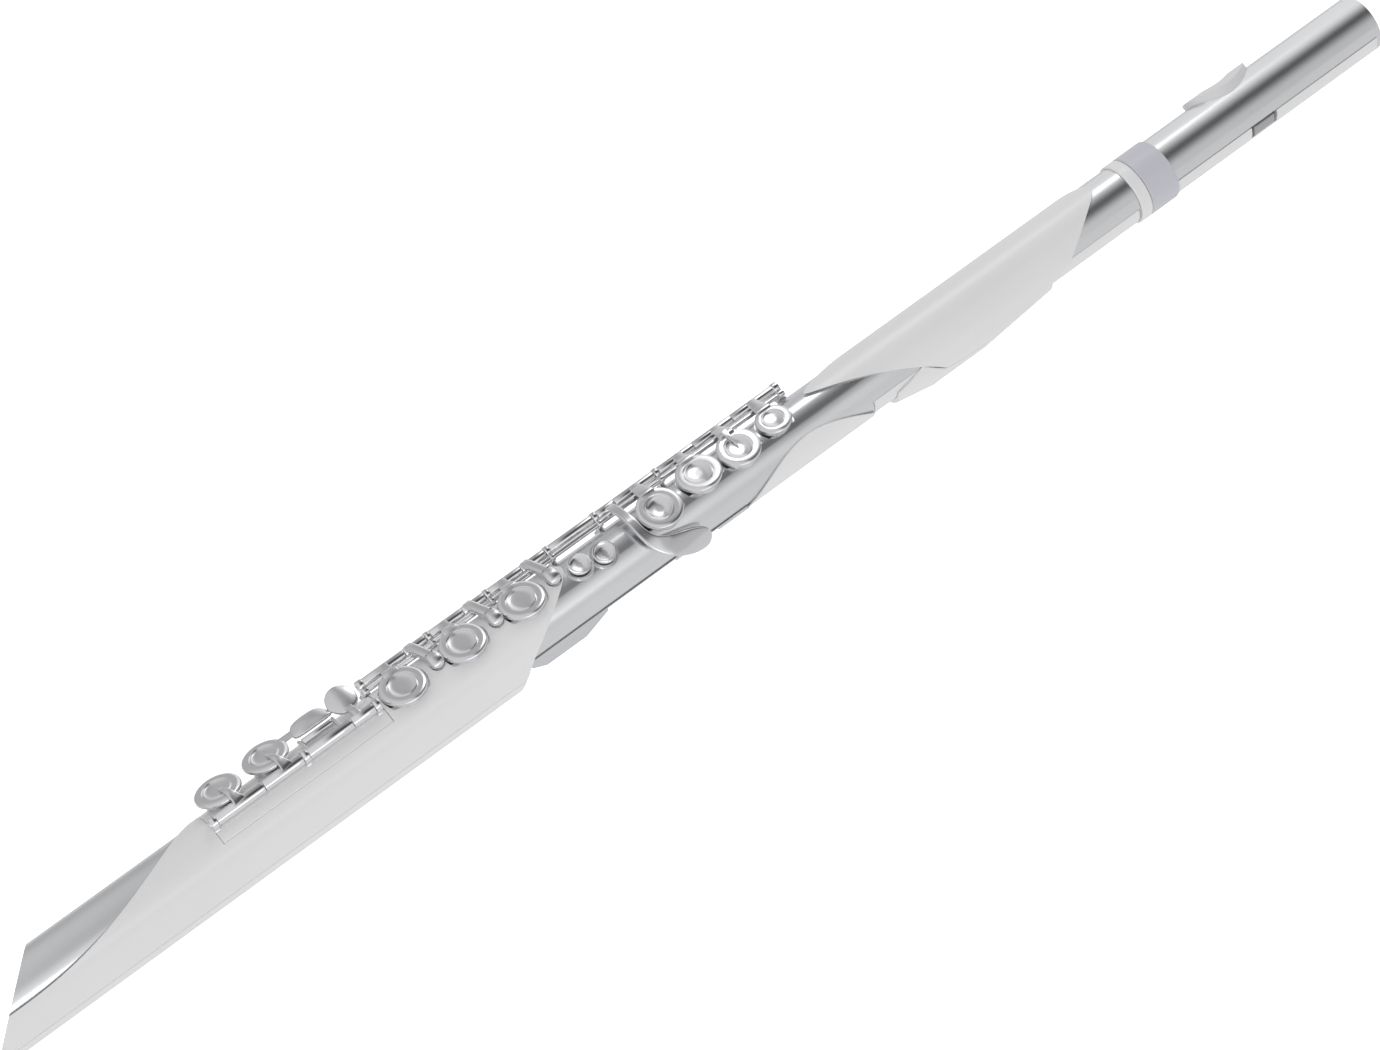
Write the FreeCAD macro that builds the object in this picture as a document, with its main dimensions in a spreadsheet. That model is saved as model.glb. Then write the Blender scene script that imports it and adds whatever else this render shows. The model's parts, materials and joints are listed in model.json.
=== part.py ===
import FreeCAD, Part
import math
import os
import re
import Sketcher

# Electronic flute with a concert flute's key layout. Millimetres.
# Frame: X runs along the body tube, with +X towards the head end; +Z is up, the way the
# key cups face; -Y is the side away from the player. The sizes below are measured from the
# tube's axis, under the gap between the G key and the A key. write() then moves the whole
# flute so that its origin is the middle of the foot's flat floor, on which it rests.

V = FreeCAD.Vector
OUT = "parts"
REST = V(-190.0, 0.0, -18.0)

DRIVING = {
    # body tube
    "tube_r": 12.2, "tube_bore": 10.2, "tube_end": 220.7, "foot_tip": -330.2,
    # white shells: coaxial above, deeper below
    "shell_r": 13.2, "shell_bore": 12.3, "shell_floor": -18.0, "tray_corner": 8.0,
    "tray_top": -10.6, "tray_wall": 1.2, "seam": 0.2, "tail_rise": -4.8,
    "belly_start": 96.0, "belly_front": 113.0, "belly_back": 139.0, "belly_end": 176.0,
    "belly_drop": 4.8,
    "foot_shell_end": -44.8, "swoosh_start": 22.0, "swoosh_end": 84.6,
    "head_shell_start": 50.2, "head_shell_end": 220.1,
    # silver foot area: a cubic edge seen from above
    "silver_start": -313.2, "silver_side": -12.4, "silver_run": 82.8, "silver_rise": 14.6,
    # oblique foot end: one point on the plane and its normal
    "cut_x": -307.9, "cut_z": -2.6, "cut_nx": -0.6545, "cut_ny": 0.5754, "cut_nz": 0.47,
    # foot key bed
    "bed_start": -215.8, "bed_end": -139.3, "bed_front": -9.6, "bed_r": 13.15,
    # main hinge line, with the thin fixed side rod beside it, both parallel to the tube
    "main_y": 11.6, "main_z": 13.2, "steel_r": 0.9, "hinge_bore": 0.94, "hinge_r": 1.95,
    "boss_r": 2.25, "post_half": 1.0, "side_y": 8.4, "side_z": 12.1, "side_r": 0.95,
    "side_boss_r": 1.5,
    # foot hinge line
    "foot_y": -4.1, "foot_z": 15.0, "foot_r": 2.3, "foot_steel_r": 1.2, "foot_bore": 1.25,
    "foot_boss_r": 2.7,
    # cups
    "cup_thick": 1.5, "cup_gap": 1.25, "chimney_r": 7.6, "chimney_bore": 6.2, "well_margin": 0.5,
    "seat_depth": 3.1,
    "right_cup_r": 9.3, "right_y": -2.4, "right_z": 14.4, "right_lean": 6.0,
    "d_x": -128.3, "e_x": -100.6, "f_x": -73.1,
    "g_x": -9.7, "g_y": -4.9, "g_z": 13.6, "g_lean": 19.0, "g_r": 9.1,
    "a_x": 11.1, "a_y": -2.4, "a_z": 14.2, "a_lean": 9.0, "a_r": 9.1,
    "c_x": 29.4, "c_y": -3.9, "c_z": 14.3, "c_lean": 15.0, "c_r": 8.7,
    "c_sharp_x": 47.4, "c_sharp_y": -2.2, "c_sharp_z": 14.1, "c_sharp_lean": 8.0, "c_sharp_r": 7.2,
    "low_c_x": -205.2, "low_c_sharp_x": -183.9, "low_y": 7.2, "low_z": 17.0, "low_lean": 10.0,
    "low_r": 9.3, "low_chimney_r": 6.8,
    # levers between the right-hand cups
    "lever_wide": 4.0, "lever_thick": 2.8, "lever_low": 13.7, "lever_back": 12.2, "lever_front": -2.7, "lever_skew": 3.0,
    "nose_r": 2.45, "nose_z": 14.7, "lever_pocket": 2.95, "pocket_floor": 10.9,
    "lever_one_x": -116.0, "lever_two_x": -88.5, "lever_three_x": -61.6,
    # G sharp lever: a strap over the hinge lines down to a spoon
    "strap_in": 15.2, "strap_thick": 1.6, "bow_in": 5.1, "bow_y": 8.1, "bow_z": 10.3,
    "strap_x": -24.1, "strap_wide": 3.7,
    "spoon_x": -11.0, "spoon_z": 2.5, "spoon_half": 12.0, "spoon_high": 4.5,
    # function buttons
    "button_r": 4.6, "button_top": 14.3, "button_travel": 0.8, "pedestal_r": 5.5,
    "upper_button_x": -47.7, "upper_button_lean": 19.0,
    "lower_button_x": -37.5, "lower_button_lean": 27.0,
    # joint and head
    "collar_r": 13.0, "ring_start": 220.9, "ring_end": 226.2, "collar_start": 226.4, "collar_end": 240.1, "head_end": 348.5,
    "tenon_r": 10.15, "tenon_bore": 8.6, "tenon_start": 203.5, "head_bore": 10.2,
    "head_split": -0.2, "head_gap": 0.5, "crown_long": 2.4,
    "lip_x": 281.2, "lip_half": 15.5, "lip_high": 10.4, "lip_r": 14.6, "lip_lean": 50.0,
    "latch_start": 280.2, "latch_end": 290.6, "latch_low": -5.4, "blow_long": 6.2, "blow_wide": 5.2, "riser_wall": 1.3,
    # underside
    "mid_cover_start": -91.3, "mid_cover_end": 78.5, "mid_cover_r": 12.7, "mid_seam": -7.2,
    "tail_cover_start": 84.6, "tail_cover_end": 220.1, "tail_seam": -0.3,
    "rest_start": -83.4, "rest_end": -43.8, "rest_half": 6.0, "rest_floor": -17.4,
    # thumb hinge line
    "thumb_y": 12.6, "thumb_z": -7.6,
    # inside
    "cell_r": 8.6, "cell_start": 111.1, "cell_long": 65.0, "board_half": 8.0,
    "jack_r": 1.75, "jack_depth": 14.0, "plate_x": -284.7, "plate_thick": 2.0,
}

doc = FreeCAD.newDocument("electronic_flute")
sizes = doc.addObject("Spreadsheet::Sheet", "Sizes")
for row, (alias, value) in enumerate(DRIVING.items(), start=1):
    sizes.set("A%d" % row, alias)
    sizes.set("B%d" % row, str(value))
    sizes.setAlias("B%d" % row, alias)
doc.recompute()

WORD = re.compile(r"[a-z][a-z_]*")
nodes = []


# ---------------------------------------------------------------- helpers

def linked(formula):
    """A formula with its size names turned into references to the spreadsheet."""
    return WORD.sub(lambda w: "Sizes." + w.group() if w.group() in DRIVING else w.group(),
                    str(formula))


def bind(thing, prop, formula):
    thing.setExpression(prop, linked(formula))


def size(alias):
    return float(sizes.get(alias))


def place(thing, x, y, z):
    """Bind the thing's position to three formulas."""
    for letter, formula in zip("xyz", (x, y, z)):
        bind(thing, ".Placement.Base." + letter, formula)


def node(label, thing):
    thing.Label = label
    nodes.append(thing)
    return thing


def rod(name, radius, start, end, y="0", z="0"):
    """A cylinder along X."""
    thing = doc.addObject("Part::Cylinder", name)
    bind(thing, "Radius", radius)
    bind(thing, "Height", "(%s) - (%s)" % (end, start))
    thing.Placement = FreeCAD.Placement(V(), FreeCAD.Rotation(V(0, 1, 0), 90))
    place(thing, start, y, z)
    return thing


def block(name, x0, x1, y0, y1, z0, z1):
    thing = doc.addObject("Part::Box", name)
    bind(thing, "Length", "(%s) - (%s)" % (x1, x0))
    bind(thing, "Width", "(%s) - (%s)" % (y1, y0))
    bind(thing, "Height", "(%s) - (%s)" % (z1, z0))
    place(thing, x0, y0, z0)
    return thing


def leaning(thing, lean, side=1):
    """Tilt a thing about X: side 1 leans away from the player, side -1 towards them."""
    thing.Placement = FreeCAD.Placement(V(), FreeCAD.Rotation(V(side, 0, 0), 1))
    bind(thing, ".Placement.Rotation.Angle", lean)


def stub(name, radius, key, low, high, side=1):
    """A cylinder on a cup's axis, between two heights measured from the cup's top face.

    key is (x, y, z, lean), as size names.
    """
    x, y, z, lean = key
    thing = doc.addObject("Part::Cylinder", name)
    bind(thing, "Radius", radius)
    bind(thing, "Height", "(%s) - (%s)" % (high, low))
    leaning(thing, lean, side)
    sign = "-" if side == 1 else "+"
    place(thing, x,
          "(%s) %s (%s) * sin((%s) * 1deg)" % (y, sign, low, lean),
          "(%s) + (%s) * cos((%s) * 1deg)" % (z, low, lean))
    return thing


def fuse(name, *things):
    thing = doc.addObject("Part::MultiFuse", name)
    thing.Shapes = list(things)
    return thing


def common(name, *things):
    thing = doc.addObject("Part::MultiCommon", name)
    thing.Shapes = list(things)
    return thing


def cut(name, base, *tools):
    thing = doc.addObject("Part::Cut", name)
    thing.Base = base
    thing.Tool = tools[0] if len(tools) == 1 else fuse(name + "_tools", *tools)
    return thing


def ring(name, outer, bore, start, end, y="0", z="0"):
    """A round tube along X."""
    return cut(name, rod(name + "_out", outer, start, end, y, z),
               rod(name + "_bore", bore, "(%s) - 1" % start, "(%s) + 1" % end, y, z))


def outline(body, role, corners, name):
    """A closed sketch of straight lines on one of the body's own planes, every corner bound."""
    sketch = body.newObject("Sketcher::SketchObject", name)
    plane = [f for f in body.Origin.OriginFeatures if f.Role == role][0]
    sketch.AttachmentSupport = [(plane, "")]
    sketch.MapMode = "FlatFace"
    count = len(corners)
    start = [V(10 * math.cos(2 * math.pi * i / count), 10 * math.sin(2 * math.pi * i / count), 0)
             for i in range(count)]
    for i in range(count):
        sketch.addGeometry(Part.LineSegment(start[i], start[(i + 1) % count]), False)
    for i in range(count):
        sketch.addConstraint(Sketcher.Constraint("Coincident", i, 2, (i + 1) % count, 1))
    for i, corner in enumerate(corners):
        for kind, formula, now in zip(("DistanceX", "DistanceY"), corner, (start[i].x, start[i].y)):
            index = sketch.addConstraint(Sketcher.Constraint(kind, -1, 1, i, 1, now))
            bind(sketch, "Constraints[%d]" % index, formula)
    return sketch


def slab(name, role, corners, thickness, offset="0"):
    """A padded outline, centred on the plane moved by offset along its normal."""
    body = doc.addObject("PartDesign::Body", name)
    sketch = outline(body, role, corners, name + "_sketch")
    bind(sketch, ".AttachmentOffset.Base.z", offset)
    doc.recompute()
    pad = body.newObject("PartDesign::Pad", name + "_pad")
    pad.Profile = sketch
    bind(pad, "Length", thickness)
    pad.Midplane = True
    return body


def turned(name, corners):
    """A revolved outline about the body's own Z axis."""
    body = doc.addObject("PartDesign::Body", name)
    sketch = outline(body, "XZ_Plane", corners, name + "_sketch")
    doc.recompute()
    turn = body.newObject("PartDesign::Revolution", name + "_turn")
    turn.Profile = sketch
    turn.ReferenceAxis = (sketch, ["V_Axis"])
    turn.Angle = 360
    return body


def bezier_block(name, poles, closing, direction, shift):
    """A solid between a Bezier edge and the closing corners, swept along direction."""
    edge = Part.BezierCurve()
    edge.setPoles(poles)
    corners = [poles[-1]] + closing + [poles[0]]
    edges = [edge.toShape()]
    edges += [Part.LineSegment(a, b).toShape() for a, b in zip(corners, corners[1:])]
    face = Part.Face(Part.Wire(Part.__sortEdges__(edges)))
    thing = doc.addObject("Part::Feature", name)
    thing.Shape = face.extrude(direction)
    thing.Placement = FreeCAD.Placement(shift, FreeCAD.Rotation())
    return thing


def half_space(name, point, normal, reach):
    """A large block on the normal's side of a plane."""
    thing = doc.addObject("Part::Box", name)
    thing.Length = reach
    thing.Width = reach
    thing.Height = reach
    turn = FreeCAD.Rotation(V(0, 0, 1), normal)
    corner = point + turn.multVec(V(-reach / 2, -reach / 2, 0))
    thing.Placement = FreeCAD.Placement(corner, turn)
    return thing


# ---------------------------------------------------------------- cutting shapes

REACH = 80.0


def oblique_end(name):
    """What lies beyond the oblique foot end."""
    point = V(size("cut_x"), 0, size("cut_z"))
    return half_space(name, point, V(size("cut_nx"), size("cut_ny"), size("cut_nz")), 200.0)


def silver_area(name):
    """The part of the foot above the cubic edge, where the silver tube shows."""
    start = size("silver_start")
    run = size("silver_run")
    side = size("silver_side")
    stretch = 1.27
    length = run * stretch
    end = side + size("silver_rise") * stretch ** 3
    poles = [V(start, side, 0), V(start + length / 3, side, 0),
             V(start + 2 * length / 3, side, 0), V(start + length, end, 0)]
    closing = [V(start - REACH, end, 0), V(start - REACH, side, 0)]
    return bezier_block(name, poles, closing, V(0, 0, REACH), V(0, 0, size("tray_top")))


def foot_shell_edge(name):
    """What lies beyond the foot shell's swept edge, seen from the side."""
    end = size("foot_shell_end")
    poles = [V(end - 5, 0, 14), V(end - 31, 0, 8), V(end - 47, 0, -18.5)]
    closing = [V(end + REACH, 0, -18.5), V(end + REACH, 0, 14)]
    return bezier_block(name, poles, closing, V(0, REACH, 0), V(0, -REACH / 2, 0))


def swoosh_edge(name):
    """What lies above the lower swoosh shell's arched edge."""
    start = size("swoosh_start")
    end = size("swoosh_end")
    poles = [V(start, 0, -9), V(start + 30, 0, 18.5), V(end, 0, -6)]
    closing = [V(end + 5, 0, 20), V(start - 5, 0, 20)]
    return bezier_block(name, poles, closing, V(0, REACH, 0), V(0, -REACH / 2, 0))


def head_shell_front(name):
    """What lies below the head-side shell's front edge."""
    start = size("head_shell_start")
    poles = [V(start + 3.8, 0, 13.3), V(start + 48.8, 0, 14.3), V(start + 70.8, 0, -10)]
    closing = [V(start + 70.8, 0, -30), V(start - 5, 0, -30), V(start - 5, 0, 13.3)]
    return bezier_block(name, poles, closing, V(0, REACH, 0), V(0, -REACH / 2, 0))


def head_shell_back(name):
    """What lies beyond the head-side shell's rear edge."""
    end = size("head_shell_end")
    poles = [V(end - 3.1, 0, 14.2), V(end - 29.1, 0, 13), V(end - 44.1, 0, -9.3)]
    closing = [V(end + REACH, 0, -9.3), V(end + REACH, 0, 14.2)]
    return bezier_block(name, poles, closing, V(0, REACH, 0), V(0, -REACH / 2, 0))


def head_parting(name, drop):
    """What lies above the curved line where the head-side shell meets its lower cover."""
    poles = [V(118.2, 0, -7.3), V(140, 0, -13.4), V(160, 0, -8.0), V(186, 0, 0.4)]
    closing = [V(230, 0, 0.4), V(230, 0, 30), V(40, 0, 30), V(40, 0, -12), V(93, 0, -12),
               V(94.5, 0, -4.5), V(109.0, 0, 0.2)]
    return bezier_block(name, poles, closing, V(0, REACH, 0), V(0, -REACH / 2, -drop))


RIGHT_KEYS = ("d", "e", "f")
LEFT_KEYS = ("g", "a", "c", "c_sharp")


def cup_seat(key):
    """The cup's place as size names: x, y, z and lean."""
    if key in RIGHT_KEYS:
        return (key + "_x", "right_y", "right_z", "right_lean")
    return (key + "_x", key + "_y", key + "_z", key + "_lean")


def cup_radius(key):
    return "right_cup_r" if key in RIGHT_KEYS else key + "_r"


def wells(name):
    """The flat-bottomed wells that the body cups sink into."""
    pits = []
    for key in RIGHT_KEYS + LEFT_KEYS:
        pits.append(stub("%s_%s" % (name, key), cup_radius(key) + " + well_margin",
                         cup_seat(key), "-seat_depth", "6"))
    return pits


LEVERS = {"d_sharp_trill": "lever_one_x", "d_trill": "lever_two_x", "b_flat_lever": "lever_three_x"}


def lever_pockets(name):
    """The round pockets under the tips of the three levers."""
    pits = []
    for lever, x in LEVERS.items():
        pit = doc.addObject("Part::Cylinder", "%s_%s" % (name, lever))
        bind(pit, "Radius", "lever_pocket")
        pit.Height = 8
        place(pit, x + " + lever_skew", "lever_front", "pocket_floor")
        pits.append(pit)
    return pits


# ---------------------------------------------------------------- tube and shells

def make_body_tube():
    tube = ring("tube_raw", "tube_r", "tube_bore", "foot_tip", "tube_end")
    mid_slot = block("tube_mid_slot", "mid_cover_start", "mid_cover_end", "-14", "14", "-14",
                     "mid_seam + seam")
    tail_slot = block("tube_tail_slot", "tail_cover_start", "tail_cover_end", "-14", "14", "-14",
                      "tail_seam + seam")
    foot_slot = block("tube_foot_slot", "-273.3", "-99.1", "-7", "7", "-14", "-6")
    tools = [mid_slot, tail_slot, foot_slot, oblique_end("tube_end_cut")]
    tools += wells("tube_well")
    tools += lever_pockets("tube_pocket")
    for side in ("upper", "lower"):
        key = (side + "_button_x", "0", "0", side + "_button_lean")
        tools.append(stub("tube_%s_button_hole" % side, "button_r - 1.4", key, "6", "20"))
    return node("body_tube", cut("body_tube", tube, *tools))


def deep_section(name, start, end, radius):
    """The foot's upper section: round above, with straight sides down past the seam."""
    return fuse(name, rod(name + "_round", radius, start, end),
                block(name + "_sides", start, end, "-(%s)" % radius, radius, "tray_top - 1", "0"))


def tray_section(name, start, end, half, floor, corner):
    """The foot's lower section: straight sides, round corners and a flat floor."""
    pieces = [
        block(name + "_mid", start, end, "-(%s - %s)" % (half, corner), "%s - %s" % (half, corner),
              floor, "0"),
        block(name + "_wide", start, end, "-(%s)" % half, half, "%s + %s" % (floor, corner), "0"),
    ]
    for side, sign in (("far", "-"), ("near", "")):
        pieces.append(rod("%s_%s_corner" % (name, side), corner, start, end,
                          "%s(%s - (%s))" % (sign, half, corner), "%s + %s" % (floor, corner)))
    return fuse(name, *pieces)


def make_foot_shell():
    outer = deep_section("foot_outer", "foot_tip", "foot_shell_end", "shell_r")
    inner = deep_section("foot_inner", "foot_tip - 1", "foot_shell_end + 1", "shell_bore")
    lower = block("foot_outer_trim", "foot_tip - 2", "foot_shell_end + 2", "-20", "20", "-20",
                  "tray_top + seam")
    bed = block("foot_bed_opening", "bed_start - seam", "bed_end + seam", "bed_front - seam", "20",
                "0", "20")
    tools = [inner, lower, bed, silver_area("foot_silver"), oblique_end("foot_end_cut"),
             foot_shell_edge("foot_edge")]
    tools += wells("foot_well")
    tools += lever_pockets("foot_pocket")
    return node("foot_shell", cut("foot_shell", outer, *tools))


def make_foot_cover():
    outer = tray_section("tray_outer", "foot_tip", "foot_shell_end", "shell_r", "shell_floor",
                         "tray_corner")
    inner = tray_section("tray_inner", "foot_tip - 1", "foot_shell_end + 1",
                         "(shell_r - tray_wall)", "(shell_floor + tray_wall)",
                         "(tray_corner - tray_wall)")
    above = block("tray_above", "foot_tip - 2", "foot_shell_end + 2", "-20", "20", "tray_top", "5")
    round_space = rod("tray_tube_space", "shell_bore", "foot_tip - 1", "foot_shell_end + 1")
    screws = [pillar_hole("tray_hole_%d" % i, x) for i, x in enumerate(("-263.8", "-109.0"))]
    return node("foot_lower_cover", cut("foot_lower_cover", outer, inner, above, round_space,
                                        oblique_end("tray_end_cut"), foot_shell_edge("tray_edge"),
                                        *screws))


def pillar_hole(name, x):
    """A screw's clearance hole and head recess in the foot cover's floor."""
    hole = doc.addObject("Part::Cylinder", name)
    hole.Radius = 2.1
    hole.Height = 4
    place(hole, x, "0", "shell_floor - 1")
    return hole


def make_foot_bed():
    skin = ring("bed_skin", "bed_r", "tube_r + 0.02", "bed_start", "bed_end")
    keep = block("bed_keep", "bed_start - 1", "bed_end + 1", "bed_front", "20", "1.2", "20")
    return node("foot_key_bed", common("foot_key_bed", skin, keep))


def make_mid_cover():
    skin = ring("mid_skin", "mid_cover_r", "tube_bore + 0.6", "mid_cover_start + 0.3",
                "mid_cover_end - 0.3")
    keep = block("mid_keep", "mid_cover_start", "mid_cover_end", "-14", "14", "-14", "mid_seam")
    clear = foot_shell_edge("mid_clear")
    trimmed = common("mid_trimmed", skin, keep, clear)
    tail = block("mid_tail", "swoosh_start", "mid_cover_end", "-14", "14", "-14", "14")
    return node("mid_lower_cover", cut("mid_lower_cover", trimmed, tail))


def make_thumb_rest():
    """A raised pad under the right thumb, standing on the mid cover."""
    corners = [("rest_start", "-8"), ("rest_start", "-13"), ("rest_start + 9", "rest_floor"),
               ("rest_end - 12", "rest_floor"), ("rest_end", "-13"), ("rest_end", "-8")]
    pad = slab("rest_pad", "XZ_Plane", corners, "2 * rest_half")
    doc.recompute()
    core = rod("rest_core", "mid_cover_r", "rest_start - 2", "rest_end + 2")
    edge = block("rest_top", "rest_start - 1", "rest_end + 1", "-10", "10", "-11.0", "0")
    shell = block("rest_clear", "rest_start - 20", "-80.5", "-10", "10", "-20", "0")
    return node("thumb_rest", cut("thumb_rest", pad, core, edge, shell))


def make_swoosh_shell():
    skin = ring("swoosh_skin", "shell_r - 0.2", "shell_bore", "swoosh_start", "swoosh_end - seam")
    floor = block("swoosh_keep", "swoosh_start", "swoosh_end", "-20", "20", "-20", "12")
    half = common("swoosh_half", skin, floor)
    return node("lower_swoosh_shell", cut("lower_swoosh_shell", half, swoosh_edge("swoosh_cut")))


def tail_section(name, radius, start, end, low):
    """The head-side shell's section: round above, a deeper round below."""
    return fuse(name, rod(name + "_top", radius, start, end),
                block(name + "_sides", start, end, "-(%s)" % radius, radius, "tail_rise", "0"),
                rod(name + "_low", radius, start, end, "0", "tail_rise"))


def make_head_side_shell():
    outer = tail_section("tail_outer", "shell_r", "head_shell_start", "head_shell_end", "0")
    inner = tail_section("tail_inner", "shell_bore", "head_shell_start - 1", "head_shell_end + 1",
                         "0")
    below = block("tail_below", "head_shell_start - 1", "head_shell_end + 1", "-20", "20", "-40",
                  "-16")
    tools = [inner, below, head_shell_front("tail_front"), head_shell_back("tail_back")]
    tools += wells("tail_well")
    shell = cut("head_side_raw", outer, *tools)
    return node("head_side_shell", common("head_side_shell", shell, head_parting("tail_part", 0)))


def belly(name):
    """A round keel below the tube: level in the middle, running out upwards at both ends."""
    stations = (("belly_start - 3", "-0.9", "shell_r - 0.3"),
                ("belly_front", "-belly_drop", "shell_r"),
                ("belly_back", "-belly_drop", "shell_r"),
                ("belly_end", "-0.9", "shell_r - 0.3"))
    hoops = []
    for i, (x, z, radius) in enumerate(stations):
        hoop = doc.addObject("Part::Circle", "%s_hoop_%d" % (name, i))
        bind(hoop, "Radius", radius)
        hoop.Placement = FreeCAD.Placement(V(), FreeCAD.Rotation(V(0, 1, 0), 90))
        place(hoop, x, "0", z)
        hoops.append(hoop)
    keel = doc.addObject("Part::Loft", name)
    keel.Sections = hoops
    keel.Solid = True
    keel.Ruled = True
    return keel


def make_head_side_cover():
    """The keel-shaped cover below the head-side shell."""
    blunt = block("belly_blunt", "belly_start", "belly_end - 2", "-20", "20", "-30", "30")
    outer = common("belly_outer", belly("belly_keel"), blunt)
    hollow = rod("belly_hollow", "shell_r - tray_wall", "belly_front + 1", "belly_back - 1", "0",
                 "-belly_drop")
    tube_space = rod("belly_tube_space", "shell_bore", "80", "200")
    return node("head_side_cover", cut("head_side_cover", outer, hollow, tube_space,
                                       head_parting("belly_part", 0.2)))


def make_tail_cover():
    skin = ring("tail_skin", "tube_r", "tube_bore", "tail_cover_start + 0.3",
                "tail_cover_end - 0.3")
    keep = block("tail_keep", "tail_cover_start", "tail_cover_end", "-14", "14", "-14",
                 "tail_seam")
    return node("rear_lower_cover", common("rear_lower_cover", skin, keep))


def make_end_plate():
    """The plate inside the foot's mouth, with the jack's and the socket's openings."""
    plate = rod("plate_disc", "tube_bore - 0.05", "plate_x", "plate_x + plate_thick")
    jack = rod("plate_jack_hole", "3.1", "plate_x - 1", "plate_x + plate_thick + 1", "0", "4.2")
    port = block("plate_port_hole", "plate_x - 1", "plate_x + plate_thick + 1", "-4.6", "4.6",
                 "-5.2", "-1.8")
    return node("foot_end_plate", cut("foot_end_plate", plate, jack, port))


def make_jack():
    barrel = rod("jack_barrel", "3.05", "plate_x - 0.6", "plate_x + plate_thick + jack_depth + 1",
                 "0", "4.2")
    hole = rod("jack_hole", "jack_r", "plate_x - 2", "plate_x - 0.6 + jack_depth", "0", "4.2")
    return node("headphone_jack", cut("headphone_jack", barrel, hole))


def make_port():
    shell = block("port_shell", "plate_x - 0.4", "plate_x + 8", "-4.55", "4.55", "-5.15", "-1.85")
    mouth = block("port_mouth", "plate_x - 1", "plate_x + 6", "-4.1", "4.1", "-4.7", "-2.3")
    tongue = block("port_tongue", "plate_x + 0.2", "plate_x + 7", "-3.2", "3.2", "-3.8", "-3.1")
    return node("usb_socket", fuse("usb_socket", cut("port_open", shell, mouth), tongue))


# ---------------------------------------------------------------- posts and steels

POSTS = {"end": "-138.9", "second": "-107.6", "third": "-80.0", "fourth": "-51.6",
         "fifth": "-29.1", "sixth": "0.5", "last": "58.7"}


def make_body_posts():
    """Vertical posts with a boss round each of the two rods, each on a small foot."""
    posts = []
    for name, x in POSTS.items():
        seat = "shell_r" if name in ("end", "second", "third", "last") else "tube_r"
        start = "%s - post_half" % x
        end = "%s + post_half" % x
        solid = fuse("post_%s_solid" % name,
                     block("post_%s_leg" % name, start, end, "side_y - 0.4", "main_y + 0.4", "4",
                           "side_z"),
                     rod("post_%s_boss_a" % name, "boss_r", start, end, "main_y", "main_z"),
                     rod("post_%s_boss_b" % name, "side_boss_r", start, end, "side_y", "side_z"))
        foot = common("post_%s_foot" % name,
                      rod("post_%s_foot_round" % name, "%s + 0.8" % seat, "%s - 2.4" % x,
                          "%s + 2.4" % x),
                      block("post_%s_foot_box" % name, "%s - 2.4" % x, "%s + 2.4" % x, "9.5",
                            "11.3", "0", "20"))
        posts.append(cut("post_%s" % name, fuse("post_%s_all" % name, solid, foot),
                         rod("post_%s_seat" % name, seat, "%s - 5" % x, "%s + 5" % x),
                         rod("post_%s_hole_a" % name, "steel_r", "%s - 5" % x, "%s + 5" % x,
                             "main_y", "main_z"),
                         rod("post_%s_hole_b" % name, "side_r", "%s - 5" % x, "%s + 5" % x,
                             "side_y", "side_z")))
    return node("body_posts", fuse("body_posts", *posts))


def make_steels():
    """The main steel, with the plain tube that fills its gap, and the side rod."""
    bare = rod("main_thin", "steel_r", "-139.9", "59.9", "main_y", "main_z")
    filler = rod("main_filler", "hinge_r", "-50.5", "-30.2", "main_y", "main_z")
    node("main_steel", fuse("main_steel", bare, filler))
    node("side_rod", rod("side_rod", "side_r", "-139.9", "59.9", "side_y", "side_z"))


FOOT_POSTS = {"left": "-214.8", "middle": "-173.5", "right": "-141.1"}


def make_foot_posts():
    posts = []
    for name, x in FOOT_POSTS.items():
        start = "%s - 1.3" % x
        end = "%s + 1.3" % x
        seat = "shell_r + 0.02" if name == "left" else "bed_r"
        solid = fuse("foot_post_%s_solid" % name,
                     rod("foot_post_%s_boss" % name, "foot_boss_r", start, end, "foot_y",
                         "foot_z"),
                     block("foot_post_%s_leg" % name, start, end, "foot_y - 1.6", "foot_y + 1.6",
                           "8", "foot_z"))
        posts.append(cut("foot_post_%s" % name, solid,
                         rod("foot_post_%s_seat" % name, seat, "%s - 5" % x, "%s + 5" % x),
                         rod("foot_post_%s_hole" % name, "foot_bore", "%s - 5" % x, "%s + 5" % x,
                             "foot_y", "foot_z")))
    return node("foot_posts", fuse("foot_posts", *posts))


# ---------------------------------------------------------------- chimneys and switches

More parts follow.
